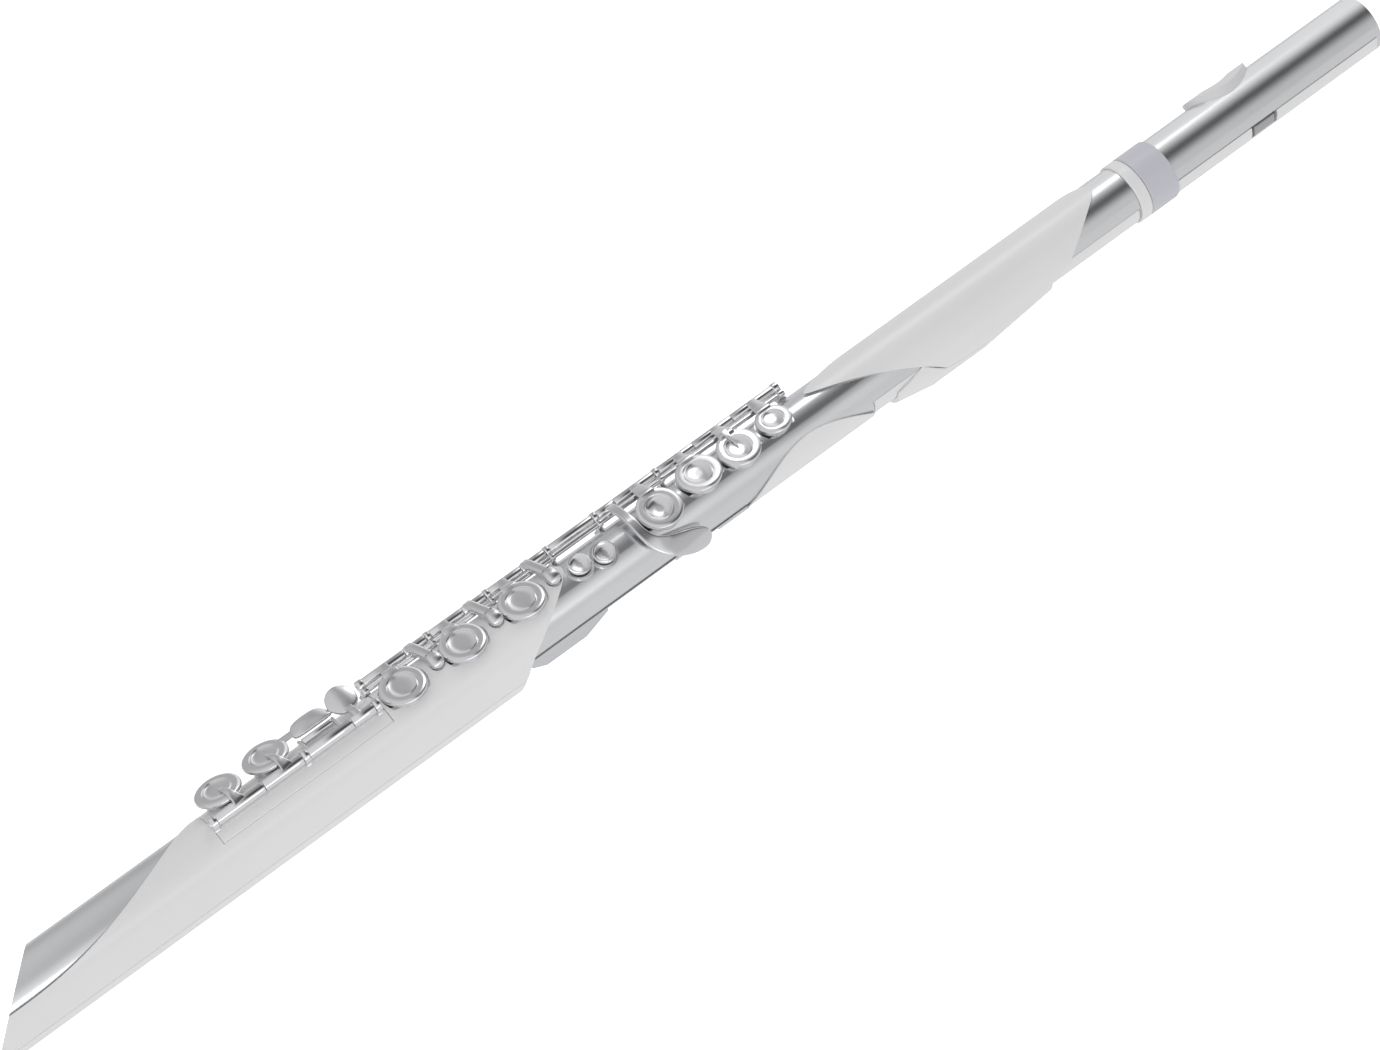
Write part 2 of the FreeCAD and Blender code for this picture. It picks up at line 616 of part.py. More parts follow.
def make_chimneys():
    """The short rings that the pads close on, standing in the wells."""
    rings = []
    for key in RIGHT_KEYS + LEFT_KEYS:
        seat = cup_seat(key)
        radius = "chimney_r" if key != "c_sharp" else "chimney_r - 1.6"
        bore = "chimney_bore" if key != "c_sharp" else "chimney_bore - 1.6"
        wall = cut("chimney_%s_wall" % key,
                   stub("chimney_%s_out" % key, radius, seat, "-7", "-cup_thick - cup_gap"),
                   stub("chimney_%s_bore" % key, bore, seat, "-8", "0"))
        core = cut("chimney_%s_core" % key,
                   rod("chimney_%s_round" % key, "shell_r" if key in RIGHT_KEYS else "tube_r",
                       seat[0] + " - 12", seat[0] + " + 12"),
                   stub("chimney_%s_pit" % key, cup_radius(key) + " + well_margin", seat,
                        "-seat_depth", "6"))
        rings.append(cut("chimney_%s" % key, wall, core))
    for key in ("low_c", "low_c_sharp"):
        seat = (key + "_x", "low_y", "low_z", "low_lean")
        wall = cut("chimney_%s_wall" % key,
                   stub("chimney_%s_out" % key, "low_chimney_r", seat, "-12",
                        "-cup_thick - cup_gap", -1),
                   stub("chimney_%s_bore" % key, "low_chimney_r - 1.3", seat, "-13", "0", -1))
        core = rod("chimney_%s_core" % key, "bed_r", seat[0] + " - 12", seat[0] + " + 12")
        beside = block("chimney_%s_side" % key, seat[0] + " - 12", seat[0] + " + 12", "-20", "20",
                       "-6", "6.5")
        rings.append(cut("chimney_%s" % key, wall, core, beside))
    return node("key_chimneys", fuse("key_chimneys", *rings))


def make_switches():
    """One small switch under each body cup, on the tube's flat."""
    buttons = []
    for key in RIGHT_KEYS + LEFT_KEYS:
        buttons.append(stub("switch_%s" % key, "2.4", cup_seat(key), "-seat_depth",
                            "-cup_thick - cup_gap"))
    return node("key_switches", fuse("key_switches", *buttons))


# ---------------------------------------------------------------- keys

def cup(name, key, radius, side=1):
    """A cup: rounded rim, fine groove and shallow dish. Its top face is at the key's place."""
    corners = [("0", "-cup_thick"), ("%s - 0.7" % radius, "-cup_thick"),
               (radius, "-cup_thick + 0.6"), (radius, "-0.5"), ("%s - 0.55" % radius, "0"),
               ("%s * 0.62" % radius, "0.1"), ("%s * 0.6" % radius, "-0.2"),
               ("%s * 0.56" % radius, "0"), ("%s * 0.3" % radius, "-0.22"), ("0", "-0.3")]
    body = turned(name, corners)
    x, y, z, lean = key
    leaning(body, lean, side)
    place(body, x, y, z)
    return body


HINGE_SPANS = {"d": ("-137.7", "-118.6"), "e": ("-106.4", "-91.5"), "f": ("-78.9", "-64.0"),
               "g": ("-19.4", "-0.7"), "a": ("1.7", "18.5"), "c": ("18.7", "37.2"),
               "c_sharp": ("37.4", "57.5")}


def make_body_key(key):
    """A cup with an arm that passes over the side rod to its own tube on the main steel."""
    x, y, z, lean = cup_seat(key)
    radius = cup_radius(key)
    rim_y = "%s + (%s - 1.2) * cos(%s * 1deg)" % (y, radius, lean)
    rim_z = "%s + (%s - 1.2) * sin(%s * 1deg)" % (z, radius, lean)
    land_y = "%s + %s * 0.62 * cos(%s * 1deg)" % (y, radius, lean)
    land_z = "%s + %s * 0.62 * sin(%s * 1deg)" % (z, radius, lean)
    corners = [("main_y + 0.6", "main_z + 1.2"), ("main_y - 0.2", "main_z + 2.3"),
               (rim_y, rim_z + " + 1.2"), (land_y, land_z + " + 0.5"),
               (land_y, land_z + " - 0.3"), (rim_y, rim_z + " - 0.3"),
               ("side_y + 0.4", "side_z + 1.6"), ("main_y - 1.4", "main_z + 0.4")]
    arm = slab("arm_" + key, "YZ_Plane", corners, "5.0", x)
    doc.recompute()
    start, end = HINGE_SPANS[key]
    solid = fuse("key_%s_solid" % key, cup("cup_" + key, cup_seat(key), radius), arm,
                 rod("key_%s_barrel" % key, "hinge_r", start, end, "main_y", "main_z"))
    hole = rod("key_%s_hole" % key, "hinge_bore", start + " - 1", end + " + 1", "main_y",
               "main_z")
    return node(key + "_key", cut(key + "_key", solid, hole))


LEVER_SPANS = {"d_sharp_trill": ("-118.4", "-108.8"), "d_trill": ("-91.3", "-81.2"),
               "b_flat_lever": ("-63.8", "-52.8")}


def make_lever(lever):
    """A flat bar from its own tube on the main steel, over the side rod, to a round nose."""
    x = LEVERS[lever]
    start, end = LEVER_SPANS[lever]
    reach = size("lever_back") - size("lever_front")
    skew = size("lever_skew")
    raw = doc.addObject("Part::Box", lever + "_raw")
    raw.Length = math.hypot(reach, skew)
    bind(raw, "Width", "lever_wide")
    bind(raw, "Height", "lever_thick")
    turn = FreeCAD.Rotation(V(1, 0, 0), V(skew, -reach, 0))
    raw.Placement = FreeCAD.Placement(V(size(x) - size("lever_wide") / 2, size("lever_back"),
                                        size("lever_low")), turn)
    bar = doc.addObject("Part::Fillet", lever + "_bar")
    bar.Base = raw
    bar.Edges = [(edge, 0.9, 0.9) for edge in (9, 10, 11, 12)]
    nose = doc.addObject("Part::Sphere", lever + "_nose")
    bind(nose, "Radius", "nose_r")
    place(nose, x + " + lever_skew", "lever_front", "nose_z")
    solid = fuse(lever + "_solid", bar, nose,
                 rod(lever + "_barrel", "hinge_r", start, end, "main_y", "main_z"))
    hole = rod(lever + "_hole", "hinge_bore", start + " - 1", end + " + 1", "main_y", "main_z")
    return node(lever, cut(lever, solid, hole))


def make_g_sharp_lever():
    """A strap that bows over the side rod, follows the tube down and widens to a spoon."""
    far = "strap_x + strap_wide"
    wrap = common("strap_wrap",
                  ring("wrap_skin", "strap_in + strap_thick", "strap_in", "strap_x", far),
                  block("wrap_keep", "strap_x", far, "-20", "bow_y - 2.7", "spoon_z", "20"))
    bow = common("strap_bow",
                 ring("bow_skin", "bow_in + strap_thick", "bow_in", "strap_x", far, "bow_y",
                      "bow_z"),
                 block("bow_keep", "strap_x", far, "bow_y - 3.5", "main_y + 1.4", "main_z - 0.6",
                       "20"))
    skin = ring("spoon_skin", "strap_in + strap_thick", "strap_in", "strap_x", "10")
    oval = doc.addObject("Part::Cylinder", "spoon_oval_round")
    bind(oval, "Radius", "spoon_high")
    oval.Height = 30
    oval.Placement = FreeCAD.Placement(V(), FreeCAD.Rotation(V(1, 0, 0), 90))
    place(oval, "spoon_x + spoon_half - spoon_high", "0", "spoon_z")
    bar = block("spoon_bar", "strap_x", "spoon_x + spoon_half - spoon_high", "-30", "0",
                "spoon_z - spoon_high", "spoon_z + spoon_high")
    spoon = common("spoon", skin, fuse("spoon_plan", oval, bar))
    start, end = "-27.8", "-19.8"
    barrel = rod("g_sharp_barrel", "hinge_r", start, end, "main_y", "main_z")
    hole = rod("g_sharp_hole", "hinge_bore", start + " - 1", end + " + 1", "main_y", "main_z")
    solid = fuse("g_sharp_solid", wrap, bow, spoon, barrel)
    return node("g_sharp_lever", cut("g_sharp_lever", solid, hole))


FOOT_SPANS = {"low_c": ("-213.4", "-192.4"), "low_c_sharp": ("-192.2", "-174.9"),
              "touch": ("-172.1", "-152.4"), "e_flat": ("-152.2", "-142.5")}


def make_foot_cup_key(key, bore):
    """A foot cup, carried on a pointed arm that rises over the foot hinge."""
    x = key + "_x"
    start, end = FOOT_SPANS[key]
    place_of = (x, "low_y", "low_z", "low_lean")
    corners = [("foot_y - 1.6", "foot_z + 1.0"), ("foot_y - 0.9", "foot_z + 3.4"),
               ("foot_y + 2.4", "low_z + 2.35"), ("low_y", "low_z + 0.55"),
               ("low_y", "low_z - 0.5"), ("foot_y + 3.2", "low_z + 0.6"),
               ("foot_y + 1.6", "foot_z + 1.2")]
    arm = slab("arm_" + key, "YZ_Plane", corners, "4.0", x + " + 0.8")
    doc.recompute()
    pieces = [cup("cup_" + key, place_of, "low_r", -1), arm,
              rod("%s_barrel" % key, "foot_r", start, end, "foot_y", "foot_z")]
    if key == "low_c_sharp":
        pieces += sharp_touch()
    solid = fuse(key + "_solid", *pieces)
    hole = rod(key + "_hole", bore, start + " - 1", end + " + 1", "foot_y", "foot_z")
    return node(key + "_key", cut(key + "_key", solid, hole))


def sharp_touch():
    """The low C sharp touch plate, reached by a bar from the cup."""
    plate = block("sharp_plate", "-170.4", "-156.0", "4.6", "12.4", "15.9", "17.2")
    link = block("sharp_link", "-177.8", "-168.4", "7.0", "10.0", "15.9", "17.0")
    return [plate, link]


def make_low_c_touch():
    """The low C touch: two arms on the foot hinge that carry a long roller."""
    start, end = FOOT_SPANS["touch"]
    barrel = rod("touch_barrel", "foot_r", start, end, "foot_y", "foot_z")
    arms = [block("touch_arm_%d" % i, a, b, "foot_y", "3.6", "foot_z - 0.4", "foot_z + 1.9")
            for i, (a, b) in enumerate((("-172.0", "-170.6"), ("-156.9", "-155.6")))]
    hole = rod("touch_hole", "foot_steel_r", start + " - 1", end + " + 1", "foot_y", "foot_z")
    pins = [rod("touch_pin_%d" % i, "0.6", a, b, "1.9", "foot_z + 0.75")
            for i, (a, b) in enumerate((("-171.4", "-169.4"), ("-158.1", "-156.1")))]
    solid = fuse("touch_solid", barrel, *(arms + pins))
    return node("low_c_touch", cut("low_c_touch", solid, hole))


def make_roller():
    return node("low_c_roller", ring("low_c_roller", "1.45", "0.65", "-170.4", "-157.1", "1.9",
                                     "foot_z + 0.75"))


def make_foot_steel():
    return node("foot_steel", rod("foot_steel", "foot_steel_r", "-216.6", "-139.3", "foot_y",
                                  "foot_z"))


def make_e_flat_key():
    """The E flat touch: a leaf that slopes up towards the player, on its own barrel."""
    start, end = FOOT_SPANS["e_flat"]
    leaf = doc.addObject("Part::Cylinder", "e_flat_leaf")
    leaf.Radius = 6.2
    leaf.Height = 1.4
    leaning(leaf, "24")
    place(leaf, "-149.4", "6.4", "17.3")
    corners = [("foot_y + 0.6", "foot_z + 0.4"), ("foot_y - 0.2", "foot_z + 2.2"),
               ("4.0", "foot_z + 3.2"), ("8.0", "foot_z + 4.6"), ("8.0", "foot_z + 3.4"),
               ("3.0", "foot_z + 0.8")]
    arm = slab("arm_e_flat", "YZ_Plane", corners, "3.2", "-148.6")
    doc.recompute()
    barrel = rod("e_flat_barrel", "foot_r", start, end, "foot_y", "foot_z")
    hole = rod("e_flat_hole", "foot_bore", start + " - 1", end + " + 1", "foot_y", "foot_z")
    return node("e_flat_key", cut("e_flat_key", fuse("e_flat_solid", leaf, arm, barrel), hole))


# ---------------------------------------------------------------- thumb keys

THUMB_POSTS = ("-14.0", "30.0")
THUMB_SPANS = {"thumb_b_flat_key": ("-12.6", "7.6"), "thumb_b_key": ("7.8", "28.6")}


def make_thumb_posts():
    posts = []
    for i, x in enumerate(THUMB_POSTS):
        seat = ("mid_cover_r", "shell_r - 0.2")[i]
        start = "%s - 1.2" % x
        end = "%s + 1.2" % x
        solid = fuse("thumb_post_%d_solid" % i,
                     rod("thumb_post_%d_boss" % i, "2.0", start, end, "thumb_y", "thumb_z"),
                     block("thumb_post_%d_leg" % i, start, end, "9.0", "thumb_y",
                           "thumb_z - 1.2", "thumb_z + 1.2"))
        posts.append(cut("thumb_post_%d" % i, solid,
                         rod("thumb_post_%d_seat" % i, seat, "%s - 5" % x, "%s + 5" % x),
                         rod("thumb_post_%d_hole" % i, "steel_r", "%s - 5" % x, "%s + 5" % x,
                             "thumb_y", "thumb_z")))
    return node("thumb_posts", fuse("thumb_posts", *posts))


def make_thumb_key(name, centre):
    """A curved touch under the tube, on a barrel along its player side."""
    start, end = THUMB_SPANS[name]
    skin = ring(name + "_skin", "15.6", "14.2", "%s - 7.5" % centre, "%s + 7.5" % centre)
    keep = block(name + "_keep", "%s - 7.5" % centre, "%s + 7.5" % centre, "-3.5", "11.6", "-20",
                 "-8.2")
    touch = common(name + "_touch", skin, keep)
    solid = fuse(name + "_solid", touch,
                 rod(name + "_barrel", "1.7", start, end, "thumb_y", "thumb_z"))
    hole = rod(name + "_hole", "hinge_bore", start + " - 1", end + " + 1", "thumb_y", "thumb_z")
    return node(name, cut(name, solid, hole))


# ---------------------------------------------------------------- buttons

def button_seat(side):
    return (side + "_button_x", "0", "0", side + "_button_lean")


def make_pedestals():
    """Round pedestals for the two function buttons, each a cup open at the top."""
    stands = []
    for side in ("upper", "lower"):
        seat = button_seat(side)
        wall = cut("pedestal_%s_wall" % side,
                   stub("pedestal_%s_out" % side, "pedestal_r", seat, "7", "13.0"),
                   stub("pedestal_%s_bore" % side, "button_r - 1.2", seat, "6", "20"))
        core = rod("pedestal_%s_core" % side, "tube_r", seat[0] + " - 9", seat[0] + " + 9")
        stands.append(cut("pedestal_%s" % side, wall, core))
    apart = half_space("pedestal_split", V(-42.6, 0, 0), V(1, 0, 0), 40.0)
    halves = [cut("pedestal_left", stands[0], apart), common("pedestal_right", stands[1], apart)]
    return node("button_pedestals", fuse("button_pedestals", *halves))


def make_button(side):
    """A dished round button on a stem."""
    seat = button_seat(side)
    top = "button_top"
    solid = fuse(side + "_button_solid",
                 stub(side + "_button_head", "button_r", seat, "13.9", "button_top + 0.6"),
                 stub(side + "_button_stem", "button_r - 1.6", seat, "10.6", top))
    dish = doc.addObject("Part::Sphere", side + "_button_dish")
    dish.Radius = 12
    x, y, z, lean = seat
    rise = 14.9 + 11.3
    turn = math.radians(size(lean))
    place(dish, x, str(-rise * math.sin(turn)), str(rise * math.cos(turn)))
    return node(side + "_button", cut(side + "_button", solid, dish))


# ---------------------------------------------------------------- joint and head

def make_socket_ring():
    """The pale ring that closes the body tube's end."""
    return node("socket_ring", ring("socket_ring", "collar_r", "tenon_r + 0.05", "ring_start",
                                    "ring_end"))


def make_collar():
    return node("joint_collar", ring("joint_collar", "collar_r", "tenon_r + 0.05", "collar_start",
                                     "collar_end"))


def make_tenon():
    return node("head_tenon", ring("head_tenon", "tenon_r", "tenon_bore", "tenon_start",
                                   "collar_end + 14"))


def lip_outline(name, half, high):
    """An oval prism that points out of the head along the blowing direction."""
    turn = FreeCAD.Rotation(V(1, 0, 0), -size("lip_lean"))
    oval = Part.Ellipse(V(0, 0, 0), size(half) if isinstance(half, str) else half,
                        size(high) if isinstance(high, str) else high)
    face = Part.Face(Part.Wire([oval.toShape()]))
    thing = doc.addObject("Part::Feature", name)
    thing.Shape = face.extrude(V(0, 0, 30))
    thing.Placement = FreeCAD.Placement(V(size("lip_x"), 0, 0), turn)
    return thing


def make_head_shells():
    """The head tube, in an upper and a lower half."""
    start = "collar_end + 0.2"
    end = "head_end - crown_long"
    upper = cut("head_upper_raw", rod("head_upper_out", "tube_r", start, end),
                rod("head_upper_bore", "head_bore", "%s - 1" % start, "%s + 1" % end),
                block("head_upper_trim", "%s - 1" % start, "%s + 1" % end, "-20", "20", "-20",
                      "head_split + head_gap"),
                lip_outline("upper_blow", size("blow_long") + size("riser_wall"),
                            size("blow_wide") + size("riser_wall")))
    node("head_upper_shell", upper)
    openings = [block("latch_slot", "latch_start - 1.2", "latch_end + 1.7", "-14", "-8",
                      "latch_low - 0.7", "1")]
    lower = cut("head_lower_raw", rod("head_lower_out", "tube_r", start, end),
                rod("head_lower_bore", "head_bore", "%s - 1" % start, "%s + 1" % end),
                block("head_lower_trim", "%s - 1" % start, "%s + 1" % end, "-20", "20",
                      "head_split", "20"), *openings)
    node("head_lower_shell", lower)


def make_crown():
    cap = rod("crown_cap", "tube_r", "head_end - crown_long", "head_end")
    plug = rod("crown_plug", "head_bore - 0.05", "head_end - crown_long - 6",
               "head_end - crown_long")
    hollow = rod("crown_hollow", "head_bore - 1.6", "head_end - crown_long - 7",
                 "head_end - crown_long - 1")
    return node("head_crown", cut("head_crown", fuse("crown_solid", cap, plug), hollow))


def make_lip_plate():
    """The lip plate: an oval saddle on the head, with the blow hole through it."""
    skin = ring("lip_skin", "lip_r", "tube_r + 0.02", "lip_x - 20", "lip_x + 20")
    plate = common("lip_solid", skin, lip_outline("lip_oval", "lip_half", "lip_high"))
    hole = lip_outline("lip_hole", size("blow_long") + size("riser_wall"),
                       size("blow_wide") + size("riser_wall"))
    return node("lip_plate", cut("lip_plate", plate, hole))


def make_riser():
    """The blow hole's wall, from the lip plate down into the head tube."""
    wall = cut("riser_wall", lip_outline("riser_out", size("blow_long") + size("riser_wall"),
                                         size("blow_wide") + size("riser_wall")),
               lip_outline("riser_bore", "blow_long", "blow_wide"))
    band = ring("riser_band", "lip_r - 0.2", "8.2", "lip_x - 20", "lip_x + 20")
    return node("embouchure_riser", common("embouchure_riser", wall, band))


def make_breath_sensor():
    """The sensor block below the blow hole."""
    base = lip_outline("sensor_block", 6.6, 5.6)
    band = ring("sensor_band", "8.0", "3.5", "lip_x - 20", "lip_x + 20")
    return node("breath_sensor", common("breath_sensor", base, band))


def make_latch():
    """The catch low on the head's front that holds the lip plate's unit; it slides along X."""
    tab = common("latch_tab", rod("latch_round", "12.6", "latch_start", "latch_end"),
                 block("latch_box", "latch_start", "latch_end", "-14", "-8", "latch_low",
                       "head_split - 0.4"))
    return node("lip_plate_latch", cut("lip_plate_latch", tab,
                                       rod("latch_under", "10.4", "266", "298")))


# ---------------------------------------------------------------- inside

def make_main_board():
    board = block("main_board", "-60", "96", "-board_half", "board_half", "-3.4", "-1.8")
    return node("main_board", board)


def make_foot_board():
    board = block("foot_board", "plate_x + 10", "-130", "-6", "6", "-8.0", "-6.6")
    return node("foot_board", board)


def make_cell():
    cell = rod("cell_can", "cell_r", "cell_start", "cell_start + cell_long")
    tip = rod("cell_tip", "2.6", "cell_start + cell_long", "cell_start + cell_long + 1.6")
    return node("battery_cell", fuse("battery_cell", cell, tip))


def make_screws():
    """The countersunk screws in the foot's lower cover."""
    screws = []
    for i, x in enumerate(("-263.8", "-109.0")):
        head = doc.addObject("Part::Cylinder", "screw_head_%d" % i)
        head.Radius = 2.0
        bind(head, "Height", "tray_wall")
        place(head, x, "0", "shell_floor + 0.1")
        shank = doc.addObject("Part::Cylinder", "screw_shank_%d" % i)
        shank.Radius = 1.0
        shank.Height = 4
        place(shank, x, "0", "shell_floor + 1")
        socket = doc.addObject("Part::Prism", "screw_socket_%d" % i)
        socket.Polygon = 6
        socket.Circumradius = 1.0
        socket.Height = 0.8
        place(socket, x, "0", "shell_floor")
        screws.append(cut("screw_%d" % i, fuse("screw_solid_%d" % i, head, shank), socket))
    return node("cover_screws", fuse("cover_screws", *screws))


# ---------------------------------------------------------------- the whole flute

def build():
    make_body_tube()
    make_foot_shell()
    make_foot_cover()
    make_foot_bed()
    make_mid_cover()
    make_thumb_rest()
    make_swoosh_shell()
    make_head_side_shell()
    make_head_side_cover()
    make_tail_cover()
    make_end_plate()
    make_jack()
    make_port()
    make_body_posts()
    make_steels()
    make_foot_posts()
    make_foot_steel()
    make_chimneys()
    make_switches()
    for key in RIGHT_KEYS + LEFT_KEYS:
        make_body_key(key)
    for lever in LEVERS:
        make_lever(lever)
    make_g_sharp_lever()
    make_foot_cup_key("low_c", "foot_steel_r")
    make_foot_cup_key("low_c_sharp", "foot_bore")
    make_low_c_touch()
    make_roller()
    make_e_flat_key()
    make_thumb_posts()
    node("thumb_steel", rod("thumb_steel", "steel_r", "-15.6", "31.6", "thumb_y", "thumb_z"))
    make_thumb_key("thumb_b_flat_key", "-2.5")
    make_thumb_key("thumb_b_key", "18.2")
    make_pedestals()
    make_button("upper")
    make_button("lower")
    make_socket_ring()
    make_collar()
    make_tenon()
    make_head_shells()
    make_crown()
    make_lip_plate()
    make_riser()
    make_breath_sensor()
    make_latch()
    make_main_board()
    make_foot_board()
    make_cell()
    make_screws()


def check():
    """Stop if any object failed or any sub-part's shape is missing or broken."""
    for thing in doc.Objects:
        if "Invalid" in thing.State or "Error" in thing.State:
            raise RuntimeError("object failed: " + thing.Name + " " + str(thing.State))
    for thing in nodes:
        shape = thing.Shape
        if shape.isNull() or not shape.isValid() or not shape.Solids:
            raise RuntimeError("bad shape: " + thing.Label)


def write():
    os.makedirs(OUT, exist_ok=True)
    for thing in nodes:
        shape = thing.Shape.copy()
        shape.translate(REST.negative())
        shape.exportStep(os.path.join(OUT, thing.Label + ".step"))


build()
doc.recompute()
check()
write()
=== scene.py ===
import json
import math
import bpy
import bmesh
from mathutils import Matrix, Vector


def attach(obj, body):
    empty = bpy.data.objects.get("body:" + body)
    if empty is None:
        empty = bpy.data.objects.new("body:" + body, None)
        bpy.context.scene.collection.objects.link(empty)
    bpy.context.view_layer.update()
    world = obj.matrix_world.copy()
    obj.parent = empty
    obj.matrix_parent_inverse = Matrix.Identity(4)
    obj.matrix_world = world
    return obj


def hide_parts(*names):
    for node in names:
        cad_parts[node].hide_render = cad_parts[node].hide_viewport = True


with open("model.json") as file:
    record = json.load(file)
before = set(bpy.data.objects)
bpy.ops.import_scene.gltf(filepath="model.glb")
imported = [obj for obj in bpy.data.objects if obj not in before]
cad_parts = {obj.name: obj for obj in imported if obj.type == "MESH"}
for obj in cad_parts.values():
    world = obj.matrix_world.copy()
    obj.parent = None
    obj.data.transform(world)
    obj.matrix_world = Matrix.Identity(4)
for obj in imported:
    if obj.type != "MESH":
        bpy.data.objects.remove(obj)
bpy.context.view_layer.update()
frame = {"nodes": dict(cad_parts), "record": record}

NODES = frame["nodes"]
MM = 0.001


# ---------------------------------------------------------------- materials

def new_material(name):
    """A node material with only its output left, and a Principled shader feeding it."""
    mat = bpy.data.materials.new(name)
    mat.use_nodes = True
    tree = mat.node_tree
    tree.nodes.clear()
    out = tree.nodes.new("ShaderNodeOutputMaterial")
    shader = tree.nodes.new("ShaderNodeBsdfPrincipled")
    tree.links.new(shader.outputs["BSDF"], out.inputs["Surface"])
    return mat, tree, shader


def coords(tree, scale=(1.0, 1.0, 1.0)):
    """Object coordinates, stretched by scale."""
    tex = tree.nodes.new("ShaderNodeTexCoord")
    mapping = tree.nodes.new("ShaderNodeMapping")
    mapping.inputs["Scale"].default_value = scale
    tree.links.new(tex.outputs["Object"], mapping.inputs["Vector"])
    return mapping.outputs["Vector"]


def noise(tree, scale, detail=3.0, stretch=(1.0, 1.0, 1.0), rough=0.5):
    node = tree.nodes.new("ShaderNodeTexNoise")
    node.inputs["Scale"].default_value = scale
    node.inputs["Detail"].default_value = detail
    node.inputs["Roughness"].default_value = rough
    tree.links.new(coords(tree, stretch), node.inputs["Vector"])
    return node.outputs["Fac"]


def remap(tree, value, low, high):
    node = tree.nodes.new("ShaderNodeMapRange")
    node.inputs["To Min"].default_value = low
    node.inputs["To Max"].default_value = high
    tree.links.new(value, node.inputs["Value"])
    return node.outputs["Result"]


def tint(tree, value, dark, light):
    ramp = tree.nodes.new("ShaderNodeValToRGB")
    ramp.color_ramp.elements[0].position = 0.3
    ramp.color_ramp.elements[0].color = (*dark, 1.0)
    ramp.color_ramp.elements[1].position = 0.7
    ramp.color_ramp.elements[1].color = (*light, 1.0)
    tree.links.new(value, ramp.inputs["Fac"])
    return ramp.outputs["Color"]


def bump(tree, value, strength, distance):
    node = tree.nodes.new("ShaderNodeBump")
    node.inputs["Strength"].default_value = strength
    node.inputs["Distance"].default_value = distance
    tree.links.new(value, node.inputs["Height"])
    return node.outputs["Normal"]


def metal(name, dark, light, rough, grain=2600.0, stretch=(1.0, 1.0, 1.0), depth=0.04):
    """Metal with slow tone variation, fine grain in its roughness, and a faint bump."""
    mat, tree, shader = new_material(name)
    shader.inputs["Metallic"].default_value = 1.0
    tree.links.new(tint(tree, noise(tree, 22.0), dark, light), shader.inputs["Base Color"])
    fine = noise(tree, grain, 2.0, stretch)
    tree.links.new(remap(tree, fine, rough * 0.93, rough * 1.07), shader.inputs["Roughness"])
    tree.links.new(bump(tree, fine, depth, 0.00002), shader.inputs["Normal"])
    return mat


def plastic(name, dark, light, rough, coat=0.0, grain=3200.0, depth=0.06, metallic=0.0):
    """Moulded or painted plastic: slow tone variation and a fine skin texture."""
    mat, tree, shader = new_material(name)
    shader.inputs["Metallic"].default_value = metallic
    shader.inputs["Coat Weight"].default_value = coat
    shader.inputs["Coat Roughness"].default_value = 0.12
    tree.links.new(tint(tree, noise(tree, 14.0), dark, light), shader.inputs["Base Color"])
    fine = noise(tree, grain, 4.0)
    tree.links.new(remap(tree, fine, rough * 0.85, rough * 1.15), shader.inputs["Roughness"])
    tree.links.new(bump(tree, fine, depth, 0.00003), shader.inputs["Normal"])
    return mat


MATERIALS = {
    "satin_silver": metal("satin_silver", (0.74, 0.75, 0.765), (0.78, 0.785, 0.80), 0.24,
                          stretch=(0.12, 1.0, 1.0), depth=0.025),
    "white_shell": plastic("white_shell", (0.90, 0.90, 0.905), (0.93, 0.93, 0.935), 0.33,
                           coat=0.25),
    "grey_cover": plastic("grey_cover", (0.66, 0.67, 0.69), (0.70, 0.71, 0.73), 0.36,
                          metallic=0.6),
    "key_metal": metal("key_metal", (0.74, 0.74, 0.76), (0.79, 0.79, 0.81), 0.2, depth=0.02),
    "bed_metal": plastic("bed_metal", (0.97, 0.97, 0.97), (0.98, 0.98, 0.98), 0.14, coat=0.8,
                         metallic=0.1, depth=0.01),
    "hinge_steel": metal("hinge_steel", (0.80, 0.80, 0.82), (0.86, 0.86, 0.88), 0.07,
                         stretch=(0.1, 1.0, 1.0), depth=0.01),
    "collar_grey": plastic("collar_grey", (0.64, 0.635, 0.70), (0.68, 0.675, 0.74), 0.36,
                           coat=0.15, grain=2200.0, depth=0.10),
    "lip_grey": plastic("lip_grey", (0.80, 0.80, 0.815), (0.84, 0.84, 0.855), 0.3, coat=0.3),
    "latch_grey": plastic("latch_grey", (0.42, 0.42, 0.44), (0.48, 0.48, 0.50), 0.4),
    "dark_plastic": plastic("dark_plastic", (0.03, 0.03, 0.035), (0.05, 0.05, 0.055), 0.45),
    "circuit_board": plastic("circuit_board", (0.02, 0.12, 0.06), (0.03, 0.17, 0.08), 0.35,
                             coat=0.5),
    "cell_wrap": plastic("cell_wrap", (0.08, 0.16, 0.40), (0.10, 0.20, 0.46), 0.3, coat=0.4),
}


def dress(obj, mat):
    obj.data.materials.clear()
    obj.data.materials.append(mat)


for entry in frame["record"]["subparts"]:
    dress(NODES[entry["node"]], MATERIALS[entry["material_slot"]])


# ---------------------------------------------------------------- shapes

ORIGIN = Vector((0.190, 0.0, 0.018))
BODY_OF = {node: body for body, members in frame["record"]["behaviour"]["bodies"].items()
           for node in members}
SHARP = math.radians(38.0)
CAD_SHARP = math.radians(28.0)
BEVEL_FROM = math.radians(30.0)


def at(x, y, z):
    """A point given in millimetres from the tube's axis under the gap after the G key."""
    return Vector((x, y, z)) * MM + ORIGIN


